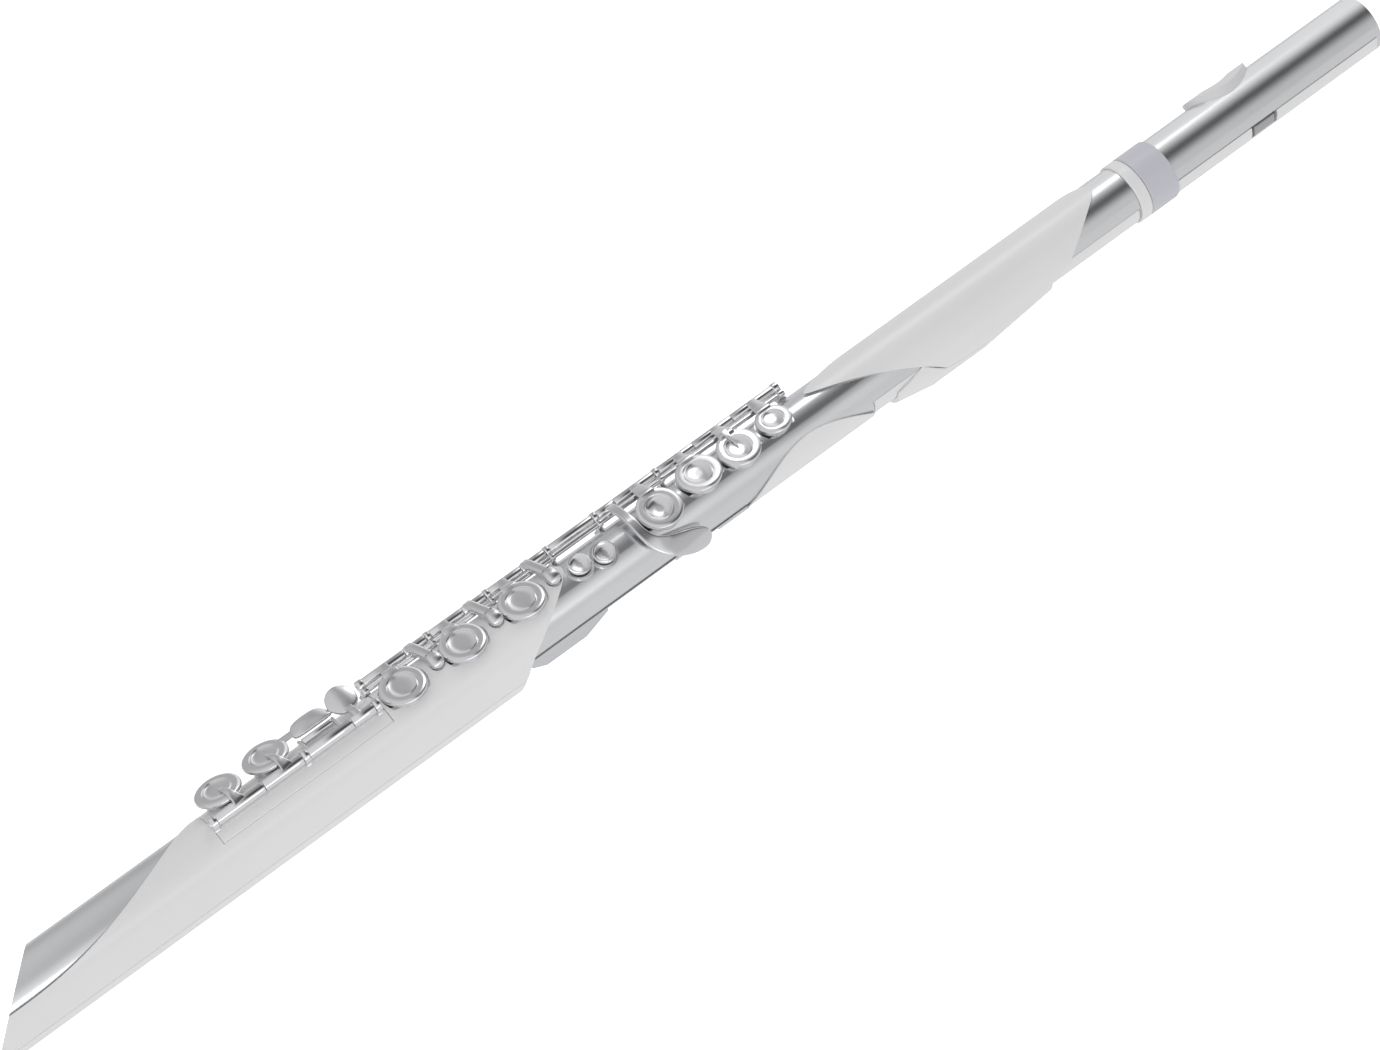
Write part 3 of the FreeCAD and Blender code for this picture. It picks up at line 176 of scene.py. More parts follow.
def loft(bm, rings):
    """A closed skin through rings of equal count, capped at both ends."""
    rows = [[bm.verts.new(at(*point)) for point in ring] for ring in rings]
    count = len(rows[0])
    for low, high in zip(rows, rows[1:]):
        for i in range(count):
            j = (i + 1) % count
            bm.faces.new((low[i], low[j], high[j], high[i]))
    bm.faces.new(list(reversed(rows[0])))
    bm.faces.new(rows[-1])


def rounded(points, radius, steps=6, closed=False):
    """A polyline with its corners replaced by arcs of up to the given radius."""
    result = []
    count = len(points)
    for i, here in enumerate(points):
        if not closed and i in (0, count - 1):
            result.append(tuple(here))
            continue
        here = Vector(here)
        before = Vector(points[i - 1]) - here
        after = Vector(points[(i + 1) % count]) - here
        turn = before.angle(after)
        reach = min(radius / math.tan(turn / 2.0), before.length * 0.49, after.length * 0.49)
        start = here + before.normalized() * reach
        end = here + after.normalized() * reach
        for step in range(steps + 1):
            t = step / steps
            result.append(tuple((1 - t) ** 2 * start + 2 * t * (1 - t) * here + t * t * end))
    return result


def lathe(bm, seat, profile, side=1, segments=96):
    """A turned solid on a cup's axis; the profile gives radius and height above the seat."""
    x, y, z, lean = seat
    turn = math.radians(lean) * side
    axis = Vector((0.0, -math.sin(turn), math.cos(turn)))
    across = Vector((0.0, math.cos(turn), math.sin(turn)))
    centre = Vector((x, y, z))
    rings = []
    for radius, height in profile:
        ring = []
        for i in range(segments):
            angle = 2 * math.pi * i / segments
            ring.append(centre + axis * height + Vector((math.cos(angle) * radius, 0, 0))
                        + across * (math.sin(angle) * radius))
        rings.append(ring)
    loft(bm, rings)


def tube(bm, outer, bore, start, end, y, z, lip=0.25, segments=64):
    """A hollow barrel along X with rounded ends."""
    section = rounded([(start, bore), (start, outer), (end, outer), (end, bore)], lip,
                      4, closed=True)
    rows = []
    for x, radius in section:
        rows.append([bm.verts.new(at(x, y + math.cos(2 * math.pi * i / segments) * radius,
                                     z + math.sin(2 * math.pi * i / segments) * radius))
                     for i in range(segments)])
    for low, high in zip(rows, rows[1:] + rows[:1]):
        for i in range(segments):
            j = (i + 1) % segments
            bm.faces.new((low[i], low[j], high[j], high[i])).material_index = 1


def rod(bm, radius, start, end, y, z, lip=0.2, segments=48):
    """A plain bar along X with rounded ends."""
    profile = rounded([(start, 0.02), (start, radius), (end, radius), (end, 0.02)], lip, 4)
    loft(bm, [[(x, y + math.cos(2 * math.pi * i / segments) * r,
                z + math.sin(2 * math.pi * i / segments) * r) for i in range(segments)]
              for x, r in profile])


def strap(bm, stations, corner=0.35):
    """A bar through stations: centre, half width, half thickness and up direction."""
    rings = []
    for index, (centre, wide, thick, up) in enumerate(stations):
        before = Vector(stations[max(index - 1, 0)][0])
        after = Vector(stations[min(index + 1, len(stations) - 1)][0])
        along = (after - before).normalized()
        side = along.cross(Vector(up)).normalized()
        over = side.cross(along).normalized()
        box = [(-wide, -thick), (wide, -thick), (wide, thick), (-wide, thick)]
        ring = []
        for a, b in rounded(box, min(corner, thick * 0.95), 4, closed=True):
            ring.append(Vector(centre) + side * a + over * b)
        rings.append(ring)
    loft(bm, rings)


def smooth_path(points, count):
    """Points spaced along a Catmull-Rom curve through tuples of numbers."""
    result = []
    last = len(points) - 1
    for i in range(count):
        place = i / (count - 1) * last
        k = min(int(place), last - 1)
        t = place - k
        a, b = points[max(k - 1, 0)], points[k]
        c, d = points[k + 1], points[min(k + 2, last)]
        result.append(tuple(0.5 * (2 * q + (r - p) * t + (2 * p - 5 * q + 4 * r - s) * t * t
                                   + (3 * q - p - 3 * r + s) * t ** 3)
                            for p, q, r, s in zip(a, b, c, d)))
    return result


def smooth_loop(points, per=6):
    """A closed Catmull-Rom curve through the points."""
    count = len(points)
    result = []
    for k in range(count):
        a, b = points[k - 1], points[k]
        c, d = points[(k + 1) % count], points[(k + 2) % count]
        for step in range(per):
            t = step / per
            result.append(tuple(0.5 * (2 * q + (r - p) * t + (2 * p - 5 * q + 4 * r - s) * t * t
                                       + (3 * q - p - 3 * r + s) * t ** 3)
                                for p, q, r, s in zip(a, b, c, d)))
    return result


def shade(bm):
    """Smooth faces, with the edges that turn sharply kept crisp."""
    bmesh.ops.remove_doubles(bm, verts=bm.verts, dist=1e-7)
    bmesh.ops.recalc_face_normals(bm, faces=bm.faces)
    for face in bm.faces:
        face.smooth = True
    for edge in bm.edges:
        edge.smooth = len(edge.link_faces) != 2 or edge.calc_face_angle() < SHARP


def finish(name, bm, slot, *nodes):
    """The finished piece: dressed, riding its body and standing for the CAD nodes."""
    shade(bm)
    mesh = bpy.data.meshes.new(name)
    bm.to_mesh(mesh)
    bm.free()
    mesh.materials.append(MATERIALS[slot])
    mesh.materials.append(MATERIALS["hinge_steel"])
    piece = bpy.data.objects.new(name, mesh)
    bpy.context.scene.collection.objects.link(piece)
    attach(piece, BODY_OF[nodes[0]])
    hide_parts(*nodes)
    return piece


# ---------------------------------------------------------------- the body's keys

MAIN_Y, MAIN_Z = 11.6, 13.2
SIDE_Y, SIDE_Z = 8.4, 12.1
BARREL_R, BARREL_BORE = 1.95, 0.94

# x, y, z and lean of each cup's top, its radius, and its barrel's ends
BODY_CUPS = {
    "d": (-128.3, -2.4, 14.4, 6.0, 9.3, -137.7, -118.6),
    "e": (-100.6, -2.4, 14.4, 6.0, 9.3, -106.4, -91.5),
    "f": (-73.1, -2.4, 14.4, 6.0, 9.3, -78.9, -64.0),
    "g": (-9.7, -4.9, 13.6, 19.0, 9.1, -19.4, -0.7),
    "a": (11.1, -2.4, 14.2, 9.0, 9.1, 1.7, 18.5),
    "c": (29.4, -3.9, 14.3, 15.0, 8.7, 18.7, 37.2),
    "c_sharp": (47.4, -2.2, 14.1, 8.0, 7.2, 37.4, 57.5),
}


def cup_profile(radius, deep):
    """A cup from its underside round the rim to the dish: flat land, fine groove, dish."""
    under = [(0.02, -1.5), (radius - 0.9, -1.5), (radius - 0.1, -1.25), (radius, -0.7),
             (radius - 0.35, -0.12), (radius - 1.1, 0.16), (radius * 0.80, 0.22)]
    groove = [(radius * 0.66, 0.20), (radius * 0.635, 0.0), (radius * 0.615, -0.16),
              (radius * 0.595, -0.02), (radius * 0.57, 0.16), (radius * 0.545, 0.12)]
    dish = [(radius * 0.515, -0.08), (radius * 0.40, -0.12 - deep * 0.6),
            (radius * 0.22, -0.13 - deep * 0.95), (0.02, -0.13 - deep)]
    return smooth_profile(under, 5) + smooth_profile(groove, 4) + smooth_profile(dish, 6)


def smooth_profile(points, per):
    """A profile's corners joined by a smooth curve, with so many steps to each stretch."""
    return smooth_path(points, (len(points) - 1) * per + 1)


def cup_arm(bm, x, y, z, lean, radius):
    """A flat tongue from the barrel's front, over the side rod, onto the cup's rear rim."""
    turn = math.radians(lean)
    across = Vector((0.0, math.cos(turn), math.sin(turn)))
    rim = Vector((x, y, z + 0.35)) + across * (radius - 0.9)
    land = Vector((x, y, z + 0.22)) + across * (radius * 0.70)
    points = [(x, MAIN_Y + 0.4, MAIN_Z + 1.35, 2.15, 0.75),
              (x, MAIN_Y - 1.5, MAIN_Z + 1.45, 2.15, 0.65),
              (x, SIDE_Y - 0.6, max(SIDE_Z + 2.0, 0.5 * (rim.z + SIDE_Z + 2.0)), 2.5, 0.60),
              (x, rim.y, rim.z, 3.1, 0.50),
              (x, land.y, land.z, 3.3, 0.22)]
    stations = [((a, b, c), w, t, (0, 0, 1)) for a, b, c, w, t in smooth_path(points, 25)]
    strap(bm, stations, 0.3)


def make_body_keys():
    for key, (x, y, z, lean, radius, start, end) in BODY_CUPS.items():
        bm = bmesh.new()
        deep = {"g": 1.0, "a": 0.45, "c": 0.45, "c_sharp": 0.3}.get(key, 0.12)
        lathe(bm, (x, y, z, lean), cup_profile(radius, deep))
        cup_arm(bm, x, y, z, lean, radius)
        if key == "c":
            pointed_arm(bm, x, y, z, lean, radius)
        tube(bm, BARREL_R, BARREL_BORE, start, end, MAIN_Y, MAIN_Z)
        finish(key + "_key_made", bm, "key_metal", key + "_key")


def pointed_arm(bm, x, y, z, lean, radius):
    """The index key's raised arm, a blade that narrows to the cup's centre."""
    turn = math.radians(lean)
    points = []
    for share, wide, rise in ((1.02, 1.25, 0.7), (0.7, 0.95, 0.75), (0.35, 0.5, 0.45),
                              (0.0, 0.12, -0.15)):
        points.append((x, y + radius * share * math.cos(turn) - rise * math.sin(turn),
                       z + radius * share * math.sin(turn) + rise * math.cos(turn), wide, 0.35))
    strap(bm, [((a, b, c), w, t, (0, 0, 1)) for a, b, c, w, t in smooth_path(points, 20)], 0.3)


LEVER_BARS = {"d_sharp_trill": (-116.0, -118.4, -108.8), "d_trill": (-88.5, -91.3, -81.2),
              "b_flat_lever": (-61.6, -63.8, -52.8)}


def make_levers():
    """Side levers: a flat bar over the side rod that ends in a rounded nose."""
    for name, (x, start, end) in LEVER_BARS.items():
        bm = bmesh.new()
        points = [(x + 0.1, MAIN_Y + 0.9, MAIN_Z + 1.3, 2.0, 0.9),
                  (x + 0.5, 9.6, MAIN_Z + 1.95, 2.1, 1.2),
                  (x + 1.6, 4.0, MAIN_Z + 2.3, 2.15, 1.35),
                  (x + 2.4, 0.4, MAIN_Z + 2.35, 2.3, 1.4)]
        strap(bm, [((a, b, c), w, t, (0, 0, 1)) for a, b, c, w, t in smooth_path(points, 24)],
              1.0)
        nose(bm, x + 2.9, -2.6, 14.9)
        tube(bm, BARREL_R, BARREL_BORE, start, end, MAIN_Y, MAIN_Z)
        finish(name + "_made", bm, "key_metal", name)


def nose(bm, x, y, z):
    """A rounded block at a lever's end, wider than its bar, rolling over to the front."""
    points = [(-0.2, 2.9, 0.7, 1.6, 0.7), (-0.2, 2.7, 0.65, 2.5, 1.4),
              (-0.1, 1.6, 0.55, 2.8, 1.7), (0.0, 0.0, 0.15, 2.85, 1.9),
              (0.0, -1.3, -0.6, 2.75, 1.8),
              (0.0, -2.2, -1.4, 2.3, 1.3), (0.0, -2.65, -1.85, 1.2, 0.6),
              (0.0, -2.75, -2.0, 0.15, 0.1)]
    stations = [((x + a, y + b, z + c), w, t, (0, 0, 1))
                for a, b, c, w, t in smooth_path(points, 36)]
    strap(bm, stations, 1.5)


def make_rods():
    bm = bmesh.new()
    rod(bm, 0.9, -139.9, 59.9, MAIN_Y, MAIN_Z)
    tube(bm, BARREL_R, 0.9, -50.5, -30.2, MAIN_Y, MAIN_Z)
    finish("main_steel_made", bm, "hinge_steel", "main_steel")
    bm = bmesh.new()
    rod(bm, 0.95, -139.9, 59.9, SIDE_Y, SIDE_Z)
    finish("side_rod_made", bm, "hinge_steel", "side_rod")


POST_PLACES = ((-138.9, 13.2), (-107.6, 13.2), (-80.0, 13.2), (-51.6, 12.2), (-29.1, 12.2),
               (0.5, 12.2), (58.7, 13.2))


def make_posts():
    """Bosses on both rods, joined by a web, each on a leg with a wider foot."""
    bm = bmesh.new()
    for x, seat in POST_PLACES:
        ends = x in (POST_PLACES[0][0], POST_PLACES[-1][0])
        half = 1.35 if ends else 1.0
        tube(bm, 2.3, 0.9, x - half, x + half, MAIN_Y, MAIN_Z, 0.3)
        tube(bm, 1.5, 0.95, x - half, x + half, SIDE_Y, SIDE_Z, 0.3)
        strap(bm, [((x, MAIN_Y - 1.4, MAIN_Z - 1.0), half * 0.9, 0.9, (0, 0, 1)),
                   ((x, SIDE_Y + 1.0, SIDE_Z + 0.0), half * 0.9, 0.9, (0, 0, 1))], 0.3)
        foot_y = 10.2
        foot_z = math.sqrt(seat ** 2 - foot_y ** 2)
        strap(bm, [((x, 10.4, SIDE_Z), 1.5, half * 0.9, (1, 0, 0)),
                   ((x, 10.3, foot_z + 1.0), 1.5, half, (1, 0, 0)),
                   ((x, 10.2, foot_z + 0.45), 1.7, 2.2, (1, 0, 0)),
                   ((x, 10.1, foot_z - 0.3), 1.7, 2.2, (1, 0, 0))], 0.4)
    finish("body_posts_made", bm, "key_metal", "body_posts")


def make_g_sharp():
    """The strap from its barrel over the rods and round the tube, widening to a spoon."""
    bm = bmesh.new()
    tube(bm, BARREL_R, BARREL_BORE, -27.8, -19.8, MAIN_Y, MAIN_Z)
    # x, angle from the top towards the front, radius, half width, half thickness
    path = [(-22.3, -42.0, 17.6, 1.8, 0.9), (-22.3, -31.0, 17.3, 1.85, 0.85),
            (-22.3, -15.0, 16.5, 1.85, 0.8), (-22.3, 0.0, 16.1, 1.85, 0.8),
            (-22.2, 18.0, 16.0, 1.85, 0.8), (-22.1, 36.0, 16.0, 1.9, 0.8),
            (-20.6, 54.0, 16.2, 2.5, 0.85), (-17.2, 68.0, 16.5, 3.6, 0.9),
            (-12.2, 78.0, 16.7, 4.3, 0.9), (-6.6, 86.0, 16.8, 4.5, 0.9),
            (-2.0, 92.0, 16.8, 3.8, 0.85), (0.2, 95.0, 16.8, 2.6, 0.8),
            (1.2, 96.5, 16.7, 0.9, 0.6), (1.4, 96.8, 16.7, 0.15, 0.2)]
    stations = []
    for x, angle, radius, wide, thick in smooth_path(path, 72):
        turn = math.radians(angle)
        out = Vector((0.0, -math.sin(turn), math.cos(turn)))
        stations.append((Vector((x, 0, 0)) + out * radius, wide, thick, out))
    curved_strap(bm, stations)
    finish("g_sharp_lever_made", bm, "key_metal", "g_sharp_lever")


# how far the spoon's lower edge stands off the tube, per millimetre below its middle
FLARE = 0.42
FLARE_FROM, FLARE_OVER = -21.0, 6.0


def curved_strap(bm, stations):
    """A strap whose section curves with the tube it lies over."""
    rings = []
    for index, (centre, wide, thick, out) in enumerate(stations):
        before = stations[max(index - 1, 0)][0]
        after = stations[min(index + 1, len(stations) - 1)][0]
        along = (after - before).normalized()
        side = along.cross(out).normalized()
        ring = []
        for a, b in rounded([(-wide, -thick), (-wide * 0.5, -thick), (0, -thick),
                             (wide * 0.5, -thick), (wide, -thick), (wide, thick),
                             (wide * 0.5, thick), (0, thick), (-wide * 0.5, thick),
                             (-wide, thick)], thick * 0.9, 4, closed=True):
            point = centre + side * a
            radial = Vector((0.0, point.y, point.z)).normalized()
            share = max(0.0, min(1.0, (centre.x - FLARE_FROM) / FLARE_OVER))
            flare = FLARE * share * (centre.z - point.z)
            target = math.hypot(centre.y, centre.z) + b + flare
            ring.append(Vector((point.x, radial.y * target, radial.z * target)))
        rings.append(ring)
    loft(bm, rings)


# ---------------------------------------------------------------- the foot's keys

FOOT_Y, FOOT_Z = -4.1, 15.0
FOOT_R, FOOT_STEEL_R, FOOT_BORE = 2.3, 1.2, 1.25
LOW_CUPS = {"low_c": (-205.2, -213.4, -192.4, FOOT_STEEL_R),
            "low_c_sharp": (-183.9, -192.2, -174.9, FOOT_BORE)}


def make_foot_cups():
    for key, (x, start, end, bore) in LOW_CUPS.items():
        bm = bmesh.new()
        seat = (x, 7.2, 17.0, 10.0)
        lathe(bm, seat, cup_profile(9.3, 0.2), side=-1)
        points = [(x + 2.6, FOOT_Y - 0.9, FOOT_Z + 1.9, 2.7, 0.5),
                  (x + 2.3, FOOT_Y + 0.6, FOOT_Z + 2.9, 2.2, 0.6),
                  (x + 1.6, -0.6, 19.0, 1.5, 0.7), (x + 0.8, 3.4, 18.6, 0.85, 0.6),
                  (x, 7.0, 17.2, 0.1, 0.2)]
        strap(bm, [((a, b, c), w, t, (0, 0, 1)) for a, b, c, w, t in smooth_path(points, 28)],
              0.5)
        tube(bm, FOOT_R, bore, start, end, FOOT_Y, FOOT_Z)
        if key == "low_c_sharp":
            sharp_touch(bm)
        finish(key + "_key_made", bm, "key_metal", key + "_key")


def plate(bm, outline, low, high):
    """A plate with a rounded edge and a slight dome; low and high give z at a point."""
    rings = []
    middle = Vector((sum(p[0] for p in outline) / len(outline),
                     sum(p[1] for p in outline) / len(outline)))
    for shrink, share in ((0.06, 0.0), (0.02, 0.04), (0.0, 0.2), (0.0, 0.7), (0.02, 0.9),
                          (0.06, 1.0), (0.2, 1.16), (0.4, 1.3), (0.65, 1.4), (0.9, 1.44)):
        ring = []
        for x, y in outline:
            px = x + (middle.x - x) * shrink
            py = y + (middle.y - y) * shrink
            base, top = low(px, py), high(px, py)
            ring.append((px, py, base + (top - base) * share))
        rings.append(ring)
    loft(bm, rings)


def sharp_touch(bm):
    """The low C sharp touch: a plate with rounded shoulders and its link to the cup."""
    outline = smooth_loop([(-170.6, 5.0), (-163.0, 4.5), (-155.6, 4.7), (-154.9, 6.6),
                           (-156.6, 10.6), (-159.6, 12.5), (-166.0, 12.6), (-169.8, 11.2),
                           (-171.3, 8.0)])
    plate(bm, outline, lambda x, y: 15.9, lambda x, y: 17.2)
    link = [(-177.8, 8.5, 16.4, 1.6), (-172.0, 8.5, 16.45, 1.5), (-168.6, 8.5, 16.5, 1.4)]
    strap(bm, [((x, y, z), wide, 0.5, (0, 0, 1)) for x, y, z, wide in link], 0.3)


def make_low_c_touch():
    bm = bmesh.new()
    tube(bm, FOOT_R, FOOT_STEEL_R, -172.1, -152.4, FOOT_Y, FOOT_Z)
    for start, end in ((-172.0, -170.6), (-156.9, -155.6)):
        middle = 0.5 * (start + end)
        half = 0.5 * (end - start)
        strap(bm, [((middle, FOOT_Y, FOOT_Z + 1.2), half, 0.9, (0, 0, 1)),
                   ((middle, -1.0, FOOT_Z + 0.9), half, 1.0, (0, 0, 1)),
                   ((middle, 2.2, FOOT_Z + 0.75), half, 1.1, (0, 0, 1)),
                   ((middle, 3.5, FOOT_Z + 0.75), half, 0.7, (0, 0, 1))], 0.4)
    rod(bm, 0.6, -171.4, -156.1, 1.9, FOOT_Z + 0.75)
    finish("low_c_touch_made", bm, "key_metal", "low_c_touch")
    bm = bmesh.new()
    tube(bm, 1.45, 0.65, -170.4, -157.1, 1.9, FOOT_Z + 0.75, 0.4)
    finish("low_c_roller_made", bm, "key_metal", "low_c_roller")


def make_e_flat():
    """The E flat touch: a rounded leaf rising towards the player, on a short arm."""
    bm = bmesh.new()
    outline = smooth_loop([(-155.2, 5.6), (-154.4, 9.6), (-151.2, 12.1), (-147.0, 12.0),
                           (-143.6, 8.9), (-143.4, 4.6), (-146.2, 1.6), (-151.8, 1.4)])
    rise = math.tan(math.radians(24.0)) * 0.75

    def under(x, y):
        return 16.9 + (y - 6.4) * rise

    plate(bm, outline, under, lambda x, y: under(x, y) + 1.3)
    points = [(-148.6, FOOT_Y - 0.4, FOOT_Z + 1.6, 1.6, 0.6), (-148.8, -1.6, 17.0, 1.5, 0.7),
              (-149.2, 2.4, 16.4, 1.6, 0.7), (-149.4, 6.0, 17.6, 1.6, 0.5)]
    strap(bm, [((a, b, c), w, t, (0, 0, 1)) for a, b, c, w, t in smooth_path(points, 18)], 0.4)
    tube(bm, FOOT_R, FOOT_BORE, -152.2, -142.5, FOOT_Y, FOOT_Z)
    finish("e_flat_key_made", bm, "key_metal", "e_flat_key")


def make_foot_posts():
    bm = bmesh.new()
    for x, seat in ((-214.8, 13.22), (-173.5, 13.15), (-141.1, 13.15)):
        tube(bm, 2.7, FOOT_BORE, x - 1.3, x + 1.3, FOOT_Y, FOOT_Z, 0.35)
        low = math.sqrt(seat ** 2 - FOOT_Y ** 2)
        strap(bm, [((x, FOOT_Y, FOOT_Z - 1.3), 1.6, 1.25, (1, 0, 0)),
                   ((x, FOOT_Y, low + 0.2), 1.6, 1.25, (1, 0, 0)),
                   ((x, FOOT_Y, low - 0.5), 1.9, 1.3, (1, 0, 0))], 0.3)
    finish("foot_posts_made", bm, "key_metal", "foot_posts")
    bm = bmesh.new()
    rod(bm, FOOT_STEEL_R, -216.6, -139.3, FOOT_Y, FOOT_Z, 0.3)
    finish("foot_steel_made", bm, "hinge_steel", "foot_steel")


# ---------------------------------------------------------------- the two function buttons

def make_buttons():
    for side, x, lean in (("upper", -47.7, 19.0), ("lower", -37.5, 27.0)):
        bm = bmesh.new()
        profile = [(0.02, 10.6), (3.0, 10.6), (3.0, 13.9), (4.3, 13.9), (4.6, 14.2),
                   (4.55, 14.75), (4.25, 14.98), (3.9, 14.9), (3.4, 14.45), (2.6, 14.1),
                   (1.3, 13.95), (0.02, 13.9)]
        lathe(bm, (x, 0.0, 0.0, lean), rounded(profile, 0.25, 4), segments=72)
        finish(side + "_button_made", bm, "key_metal", side + "_button")


# ---------------------------------------------------------------- softened CAD pieces

def soften(node, width, slot):
    """A copy of a CAD node with its sharp edges rounded over."""
    bm = bmesh.new()
    bm.from_mesh(NODES[node].data)
    bmesh.ops.remove_doubles(bm, verts=bm.verts, dist=2e-6)
    bmesh.ops.dissolve_degenerate(bm, edges=bm.edges, dist=1e-6)
    bmesh.ops.recalc_face_normals(bm, faces=bm.faces)
    for face in bm.faces:
        face.smooth = True
    for edge in bm.edges:
        edge.smooth = len(edge.link_faces) != 2 or edge.calc_face_angle() < CAD_SHARP
    mesh = bpy.data.meshes.new(node + "_soft")
    bm.to_mesh(mesh)
    bm.free()
    mesh.materials.append(MATERIALS[slot])
    piece = bpy.data.objects.new(node + "_soft", mesh)
    bpy.context.scene.collection.objects.link(piece)
    edge_round = piece.modifiers.new("edge_round", "BEVEL")
    edge_round.width = width * MM
    edge_round.segments = 3
    edge_round.limit_method = "ANGLE"
    edge_round.angle_limit = BEVEL_FROM
    edge_round.use_clamp_overlap = True
    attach(piece, BODY_OF[node])
    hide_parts(node)


# how far each CAD piece's edges are rounded, in millimetres
SOFT = {"foot_shell": 0.3, "foot_lower_cover": 0.3, "head_side_shell": 0.3,
        "lower_swoosh_shell": 0.25, "head_side_cover": 0.3, "thumb_rest": 0.8,
        "joint_collar": 0.5, "socket_ring": 0.6, "lip_plate": 0.45, "head_crown": 0.4,
        "foot_key_bed": 0.25,
        "lip_plate_latch": 0.4, "embouchure_riser": 0.25, "button_pedestals": 0.25,
        "key_chimneys": 0.2, "thumb_b_key": 0.4, "thumb_b_flat_key": 0.4, "thumb_posts": 0.25}

make_body_keys()
make_levers()
make_rods()
make_posts()
make_g_sharp()
make_foot_cups()
make_low_c_touch()
make_e_flat()
make_foot_posts()
make_buttons()
SLOT_OF = {entry["node"]: entry["material_slot"] for entry in frame["record"]["subparts"]}
for soft_node, soft_width in SOFT.items():
    soften(soft_node, soft_width, SLOT_OF[soft_node])


# ---------------------------------------------------------------- floor, light and camera

FLOOR_HALF, FLOOR_Z = 30.0, -0.45


def make_floor():
    """A large plain floor well below the flute, so that it casts no hard shadow."""
    bm = bmesh.new()
    corners = [bm.verts.new((x * FLOOR_HALF, y * FLOOR_HALF, FLOOR_Z))
               for x, y in ((-1, -1), (1, -1), (1, 1), (-1, 1))]
    bm.faces.new(corners)
    mesh = bpy.data.meshes.new("floor")
    bm.to_mesh(mesh)
    bm.free()
    floor = bpy.data.objects.new("floor", mesh)
    bpy.context.scene.collection.objects.link(floor)
    mat, tree, shader = new_material("floor_paper")
    tree.links.new(tint(tree, noise(tree, 1.5), (0.90, 0.90, 0.90), (0.92, 0.92, 0.92)),
                   shader.inputs["Base Color"])
    shader.inputs["Roughness"].default_value = 0.9
    shader.inputs["Specular IOR Level"].default_value = 0.0
    shader.inputs["Emission Color"].default_value = (1.0, 1.0, 1.0, 1.0)
    path = tree.nodes.new("ShaderNodeLightPath")
    tree.links.new(remap(tree, path.outputs["Is Camera Ray"], 0.12, 0.95),
                   shader.inputs["Emission Strength"])
    mesh.materials.append(mat)


def area(name, location, target, width, height, power):
    data = bpy.data.lights.new(name, "AREA")
    data.shape = "RECTANGLE"
    data.size = width
    data.size_y = height
    data.energy = power
    light = bpy.data.objects.new(name, data)
    light.location = Vector(location) + ORIGIN
    aim = Vector(target) - Vector(location)
    light.rotation_mode = "QUATERNION"
    light.rotation_quaternion = aim.to_track_quat("-Z", "Y")
    bpy.context.scene.collection.objects.link(light)
    return light


def levels(tree, angle, stops):
    """A grey ramp over an angle in degrees, from -180 to 180."""
    span = tree.nodes.new("ShaderNodeMapRange")
    span.inputs["From Min"].default_value = -math.pi
    span.inputs["From Max"].default_value = math.pi
    tree.links.new(angle, span.inputs["Value"])
    ramp = tree.nodes.new("ShaderNodeValToRGB")
    elements = ramp.color_ramp.elements
    while len(elements) < len(stops):
        elements.new(0.5)
    for element, (degrees, level) in zip(elements, stops):
        element.position = (degrees + 180.0) / 360.0
        element.color = (level, level, level, 1.0)
    tree.links.new(span.outputs["Result"], ramp.inputs["Fac"])
    return ramp.outputs["Color"]


def make_world():
    """Long soft boxes beside the flute with a dark gap round the camera.

    The level depends on the direction's angle about the flute's axis, from the front over the
    top, and changes from the foot's side to the head's side.
    """
    world = bpy.data.worlds.new("studio")
    bpy.context.scene.world = world
    world.use_nodes = True
    tree = world.node_tree
    tree.nodes.clear()
    out = tree.nodes.new("ShaderNodeOutputWorld")
    back = tree.nodes.new("ShaderNodeBackground")
    tex = tree.nodes.new("ShaderNodeTexCoord")
    split = tree.nodes.new("ShaderNodeSeparateXYZ")
    tree.links.new(tex.outputs["Generated"], split.inputs["Vector"])
    flip = tree.nodes.new("ShaderNodeMath")
    flip.operation = "MULTIPLY"
    flip.inputs[1].default_value = -1.0
    tree.links.new(split.outputs["Y"], flip.inputs[0])
    angle = tree.nodes.new("ShaderNodeMath")
    angle.operation = "ARCTAN2"
    tree.links.new(split.outputs["Z"], angle.inputs[0])
    tree.links.new(flip.outputs[0], angle.inputs[1])
    level = levels(tree, angle.outputs[0], END_STOPS)
    for low, high, stops in ((*MID_FADE, MID_STOPS), (*HEAD_FADE, HEAD_STOPS)):
        side = tree.nodes.new("ShaderNodeMapRange")
        side.interpolation_type = "SMOOTHSTEP"
        side.inputs["From Min"].default_value = low
        side.inputs["From Max"].default_value = high
        tree.links.new(split.outputs["X"], side.inputs["Value"])
        mix = tree.nodes.new("ShaderNodeMix")
        mix.data_type = "RGBA"
        tree.links.new(side.outputs["Result"], mix.inputs[0])
        tree.links.new(level, mix.inputs[6])
        tree.links.new(levels(tree, angle.outputs[0], stops), mix.inputs[7])
        level = mix.outputs[2]
    tree.links.new(level, back.inputs["Color"])
    back.inputs["Strength"].default_value = WORLD_LEVEL
    tree.links.new(back.outputs["Background"], out.inputs["Surface"])


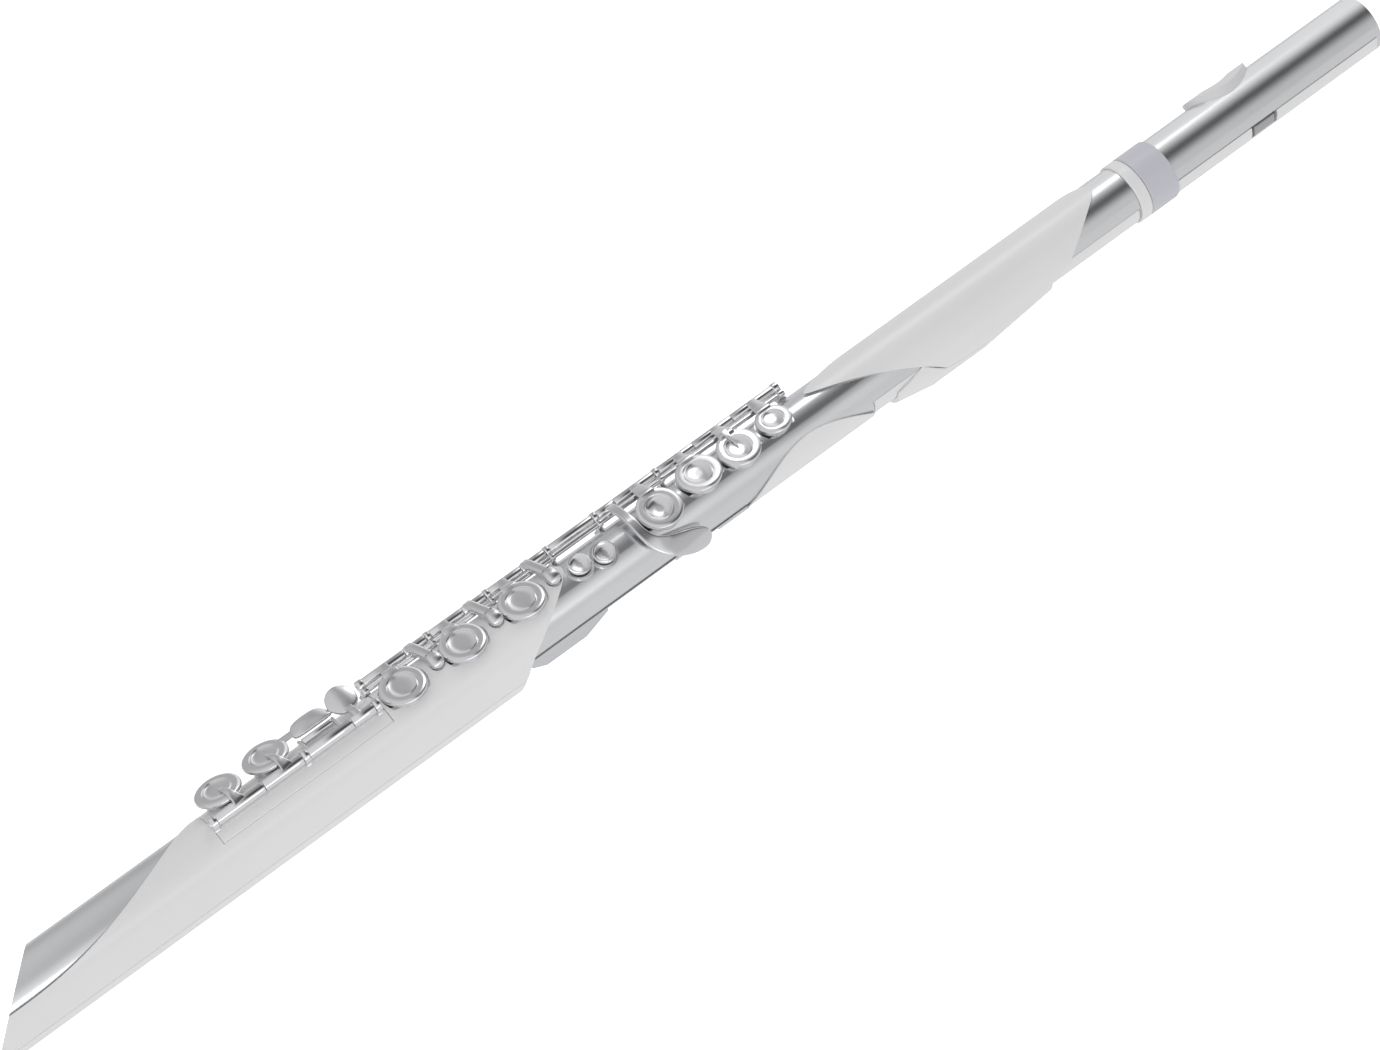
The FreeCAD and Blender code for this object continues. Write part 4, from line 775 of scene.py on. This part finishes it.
# each stop: degrees from the front over the top, and the grey level there
WORLD_LEVEL = 0.93
END_STOPS = ((-180, 0.72), (-75, 0.42), (-45, 0.70), (-14, 0.88), (24, 0.90), (42, 0.80),
             (84, 0.80), (110, 0.76), (130, 0.70), (155, 0.54), (180, 0.52))
MID_STOPS = ((-180, 0.78), (-60, 0.72), (-12, 0.95), (24, 1.0), (38, 0.55), (46, 0.08),
             (66, 0.06), (84, 0.20), (104, 0.30), (120, 0.42), (145, 0.40), (180, 0.70))
HEAD_STOPS = ((-180, 0.80), (-60, 0.54), (0, 0.60), (28, 0.58), (44, 0.32), (58, 0.07),
              (70, 0.07), (82, 0.40), (98, 0.85), (112, 1.0), (150, 1.0), (180, 0.95))

# the span of a direction's x over which one ramp fades into the next
MID_FADE = (0.15, 0.25)
HEAD_FADE = (0.30, 0.41)

SENSOR_MM = 36.0
LENS_MM = 120.3391
DISTANCE = 1.728
AXIS_RISE = 0.0055065
RIGHT = Vector((0.954, -0.2186, 0.2053))
UP = Vector((0.0, 0.6845, 0.7285))
LEAN = 0.01562
ROLL = math.radians(35.0) + LEAN


def make_camera():
    """A long lens above and in front, rolled so that the flute lies corner to corner."""
    back = RIGHT.cross(UP).normalized()
    above = math.sin(LEAN) * RIGHT + math.cos(LEAN) * UP
    right = math.cos(ROLL) * RIGHT - math.sin(ROLL) * UP
    up = back.cross(right)
    data = bpy.data.cameras.new("camera")
    data.sensor_width = SENSOR_MM
    data.lens = LENS_MM
    data.clip_start = 0.05
    data.clip_end = 100.0
    camera = bpy.data.objects.new("camera", data)
    spot = ORIGIN + back * DISTANCE - above * AXIS_RISE
    turn = Matrix((right, up, back)).transposed()
    camera.matrix_world = Matrix.Translation(spot) @ turn.to_4x4()
    bpy.context.scene.collection.objects.link(camera)
    bpy.context.scene.camera = camera


make_floor()
make_world()
area("head_light", (0.42, 0.30, 0.75), (0.25, 0.0, 0.0), 0.3, 0.3, 0.6)
area("front_light", (-0.25, -1.0, 0.10), (-0.2, 0.0, 0.0), 0.8, 0.25, 0.8)
make_camera()

bpy.context.scene.view_settings.view_transform = "Standard"
